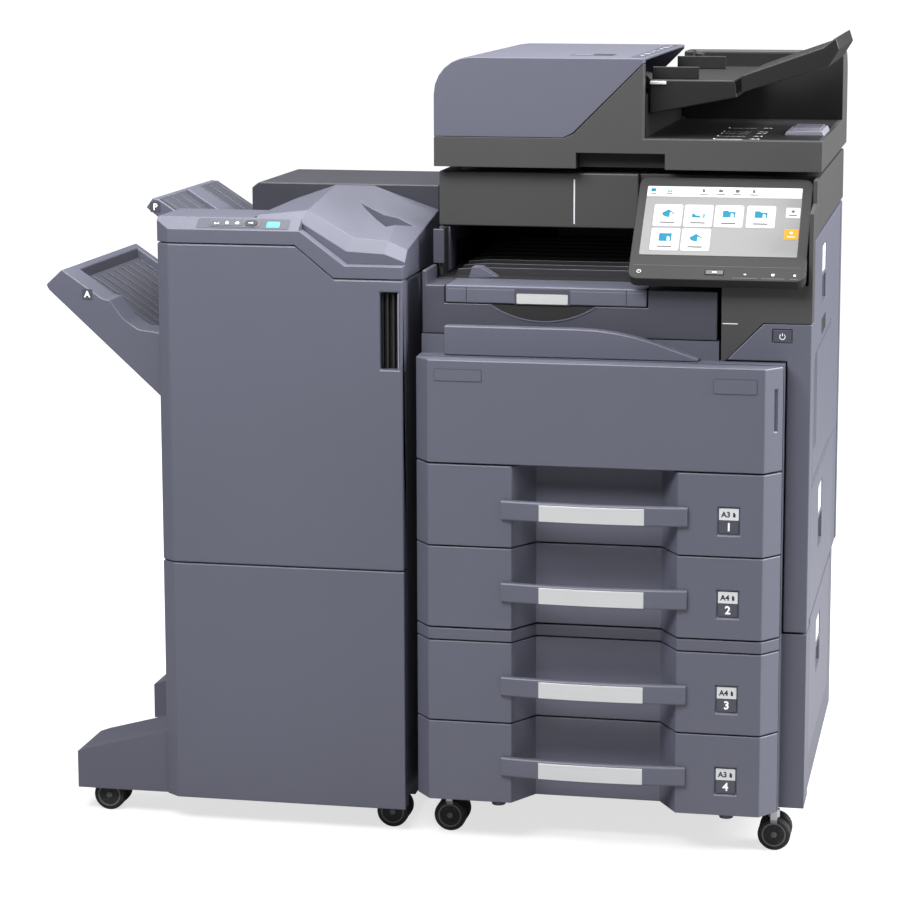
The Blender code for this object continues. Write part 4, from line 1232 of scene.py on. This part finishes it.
# The slot is a flat near-black plate: painted shadow.
upper_slot = plate(GRIP_Y, (766, 790), 2, facing_right(side.x1), shadow_paint,
                   (-0.5, 0.2))
upper_slot.name = "side_cover_slot"
finish(upper_slot, "side_cover", shadow_paint)
tray_door = box_of("mp_tray")
door_face = facing_right(tray_door.x1)
# The broad darker patch is painted shade in the grip groove; the near-black lines are its seams.
grooves = [plate((tray_door.y0 + 54, tray_door.y0 + 59), (609, 751), 2, door_face, shadow_paint,
                 (-0.5, 0.1)),
           plate((tray_door.y0 + 4, tray_door.y0 + 54), (609, 751), 4, door_face, tile_and_shade_paint,
                 (-0.5, 0.15)),
           dash(((tray_door.y0 + tray_door.y1) / 2, tray_door.z1 - 3),
                (tray_door.y1 - tray_door.y0 - 8, 1.6), door_face, shadow_paint, (-0.3, 0.1))]
attach("mp_tray_grooves", "mp_tray", "lavender_shell", *grooves)
print("grips done; side cover spans", [round(value, 1) for value in side])

# %% [markdown]
# ## Back of the machine
# The back breathes: louvres let the warm air of the fuser out, and screws hold the sheet. One
# louvre and one screw are modelled, and the grid tree repeats them. The inlet gets its pins.

# %% Louvres and screws
def facing_back(y):
    return lambda right, up, out: at(right, y + out, up)


rear = box_of("rear_cover")
for name, x, z, columns, rows in (("rear_vents_upper", 70, 800, 2, 12),
                                  ("rear_vents_lower", 400, 560, 1, 9)):
    # Each louvre is a flat near-black plate: painted shade where the vent opening would be.
    louvre = coat(slab("louvre", round_rect((x, x + 110), (z, z + 4.5), 2.2, 4), "Z",
                       (-0.4, 0.6), facing_back(rear.y1)), shadow_paint)
    attach(name, "machine", "inner_plastic",
           repeat(louvre, shadow_paint, columns, (330, 0, 0), rows, (0, 0, 9)))


def back_screws(name, x, y, z, columns, column_step, rows, row_step):
    """Pan-head screws on a sheet that faces back."""
    head = turned(name, [(0.4, 1.2), (2.4, 1.1), (3.6, 0.4), (3.6, -0.8), (0.4, -1.0)], "Y",
                  (x, z, y), 16)
    attach(name, "machine", "caster_metal",
           repeat(head, zinc_paint, columns, (column_step, 0, 0), rows, (0, 0, row_step)))


back_screws("rear_screws", rear.x0 + 14, rear.y1, rear.z0 + 16, 4,
            (rear.x1 - rear.x0 - 28) / 3, 6, (rear.z1 - rear.z0 - 40) / 5)
lower = box_of("finisher_lower_panel")
back_screws("finisher_screws", lower.x0 + 18, box_of("finisher_cabinet").y1, 60, 3,
            (lower.x1 - lower.x0 - 36) / 2, 6, 155)
feeder = box_of("feeder_frame")
back_screws("feeder_screws", feeder.x0 + 20, feeder.y1, 90, 4,
            (feeder.x1 - feeder.x0 - 40) / 3, 2, 190)
inlet = box_of("power_inlet")
pin = soften(block("pin", (inlet.x0 + 14, inlet.x0 + 16), (inlet.y1 - 6, inlet.y1 - 0.5),
                   (inlet.z0 + 11, inlet.z0 + 18)), 0.4, 2)
attach("inlet_pins", "machine", "caster_metal", repeat(pin, zinc_paint, 3, (9, 0, 0)))
print("back done:", [round(value, 1) for value in rear])

# %% [markdown]
# ## Camera, light and floor
# The camera stands four metres in front of the machine, a little to its right and just above
# its top, and looks slightly down. A long lens keeps the verticals nearly parallel. The light
# is that of a small studio: a soft box high in front, whose light falls off towards the floor,
# one on the right for the side covers, one overhead, and a dim tent all round. The tent and the
# floor look white to the camera, but throw little light back, so the fronts keep their shade.

# %% Camera, light and floor
camera_data = bpy.data.cameras.new("camera")
camera_data.lens = 109.2
camera_data.shift_x = -0.0622
camera_data.shift_y = -0.1
camera = bpy.data.objects.new("camera", camera_data)
camera.location = (0.872, -4.33, 1.391)
camera.rotation_euler = (math.radians(81.0), 0, math.radians(10.54))
bpy.context.scene.collection.objects.link(camera)
bpy.context.scene.camera = camera

TENT_LIGHT = 0.19
world = bpy.data.worlds.new("tent")
world.use_nodes = True
tent = world.node_tree
seen = tent.nodes["Background"]
lit = tent.nodes.new("ShaderNodeBackground")
ray = tent.nodes.new("ShaderNodeLightPath")
chosen = tent.nodes.new("ShaderNodeMixShader")
for background, strength in ((seen, 1.05), (lit, TENT_LIGHT)):
    background.inputs["Color"].default_value = (1, 1, 1, 1)
    background.inputs["Strength"].default_value = strength
tent.links.new(ray.outputs["Is Camera Ray"], chosen.inputs[0])
tent.links.new(lit.outputs[0], chosen.inputs[1])
tent.links.new(seen.outputs[0], chosen.inputs[2])
tent.links.new(chosen.outputs[0], tent.nodes["World Output"].inputs["Surface"])
bpy.context.scene.world = world
bpy.context.scene.view_settings.view_transform = "Standard"


def soft_box(name, place, target, size, power):
    light = bpy.data.lights.new(name, "AREA")
    light.shape = "RECTANGLE"
    light.size, light.size_y = size
    light.energy = power
    lamp = bpy.data.objects.new(name, light)
    lamp.location = place
    lamp.rotation_euler = (Vector(target) - Vector(place)).to_track_quat("-Z", "Y").to_euler()
    bpy.context.scene.collection.objects.link(lamp)
    return lamp


soft_box("front_high", (-0.6, -1.9, 2.55), (-0.1, -0.4, 0.95), (1.8, 1.0), 102)
soft_box("right_side", (3.2, 0.2, 2.4), (0.5, 0.2, 0.9), (2.4, 2.2), 300)
soft_box("overhead", (0.2, 0.3, 3.2), (0, 0.1, 0.9), (2.8, 2.4), 135)

floor = block("floor", (-9000, 9000), (-9000, 9000), (-20, 0))
floor_paint = Finish("pale_floor", "cabinet_shell", 0.6)
floor_paint.feed("Base Color", floor_paint.between(floor_paint.noise(2.0), (0.33, 0.33, 0.33),
                                                   (0.35, 0.35, 0.35)))
floor_paint.shader.inputs["Emission Strength"].default_value = 1.0
reach = floor_paint.node("ShaderNodeVectorMath", {"operation": "LENGTH"}, {0: floor_paint.place},
                         output="Value")
haze = floor_paint.node("ShaderNodeMapRange", {}, {"Value": reach, 1: 0.7, 2: 3.2, 3: 0.7, 4: 1.0})
glow = floor_paint.node("ShaderNodeLightPath") * haze
floor_paint.feed("Emission Color", floor_paint.between(glow, (0, 0, 0), (1, 1, 1)))
floor.data.materials.append(floor_paint.material)
floor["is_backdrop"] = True
print("camera at", [round(value, 2) for value in camera.location])

# %% [markdown]
# ## Measure and close
# The box that the finished model fills is measured and printed.

# %% The model's box, then close
low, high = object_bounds()
print("visual box in metres:", [round(side, 3) for side in high - low])
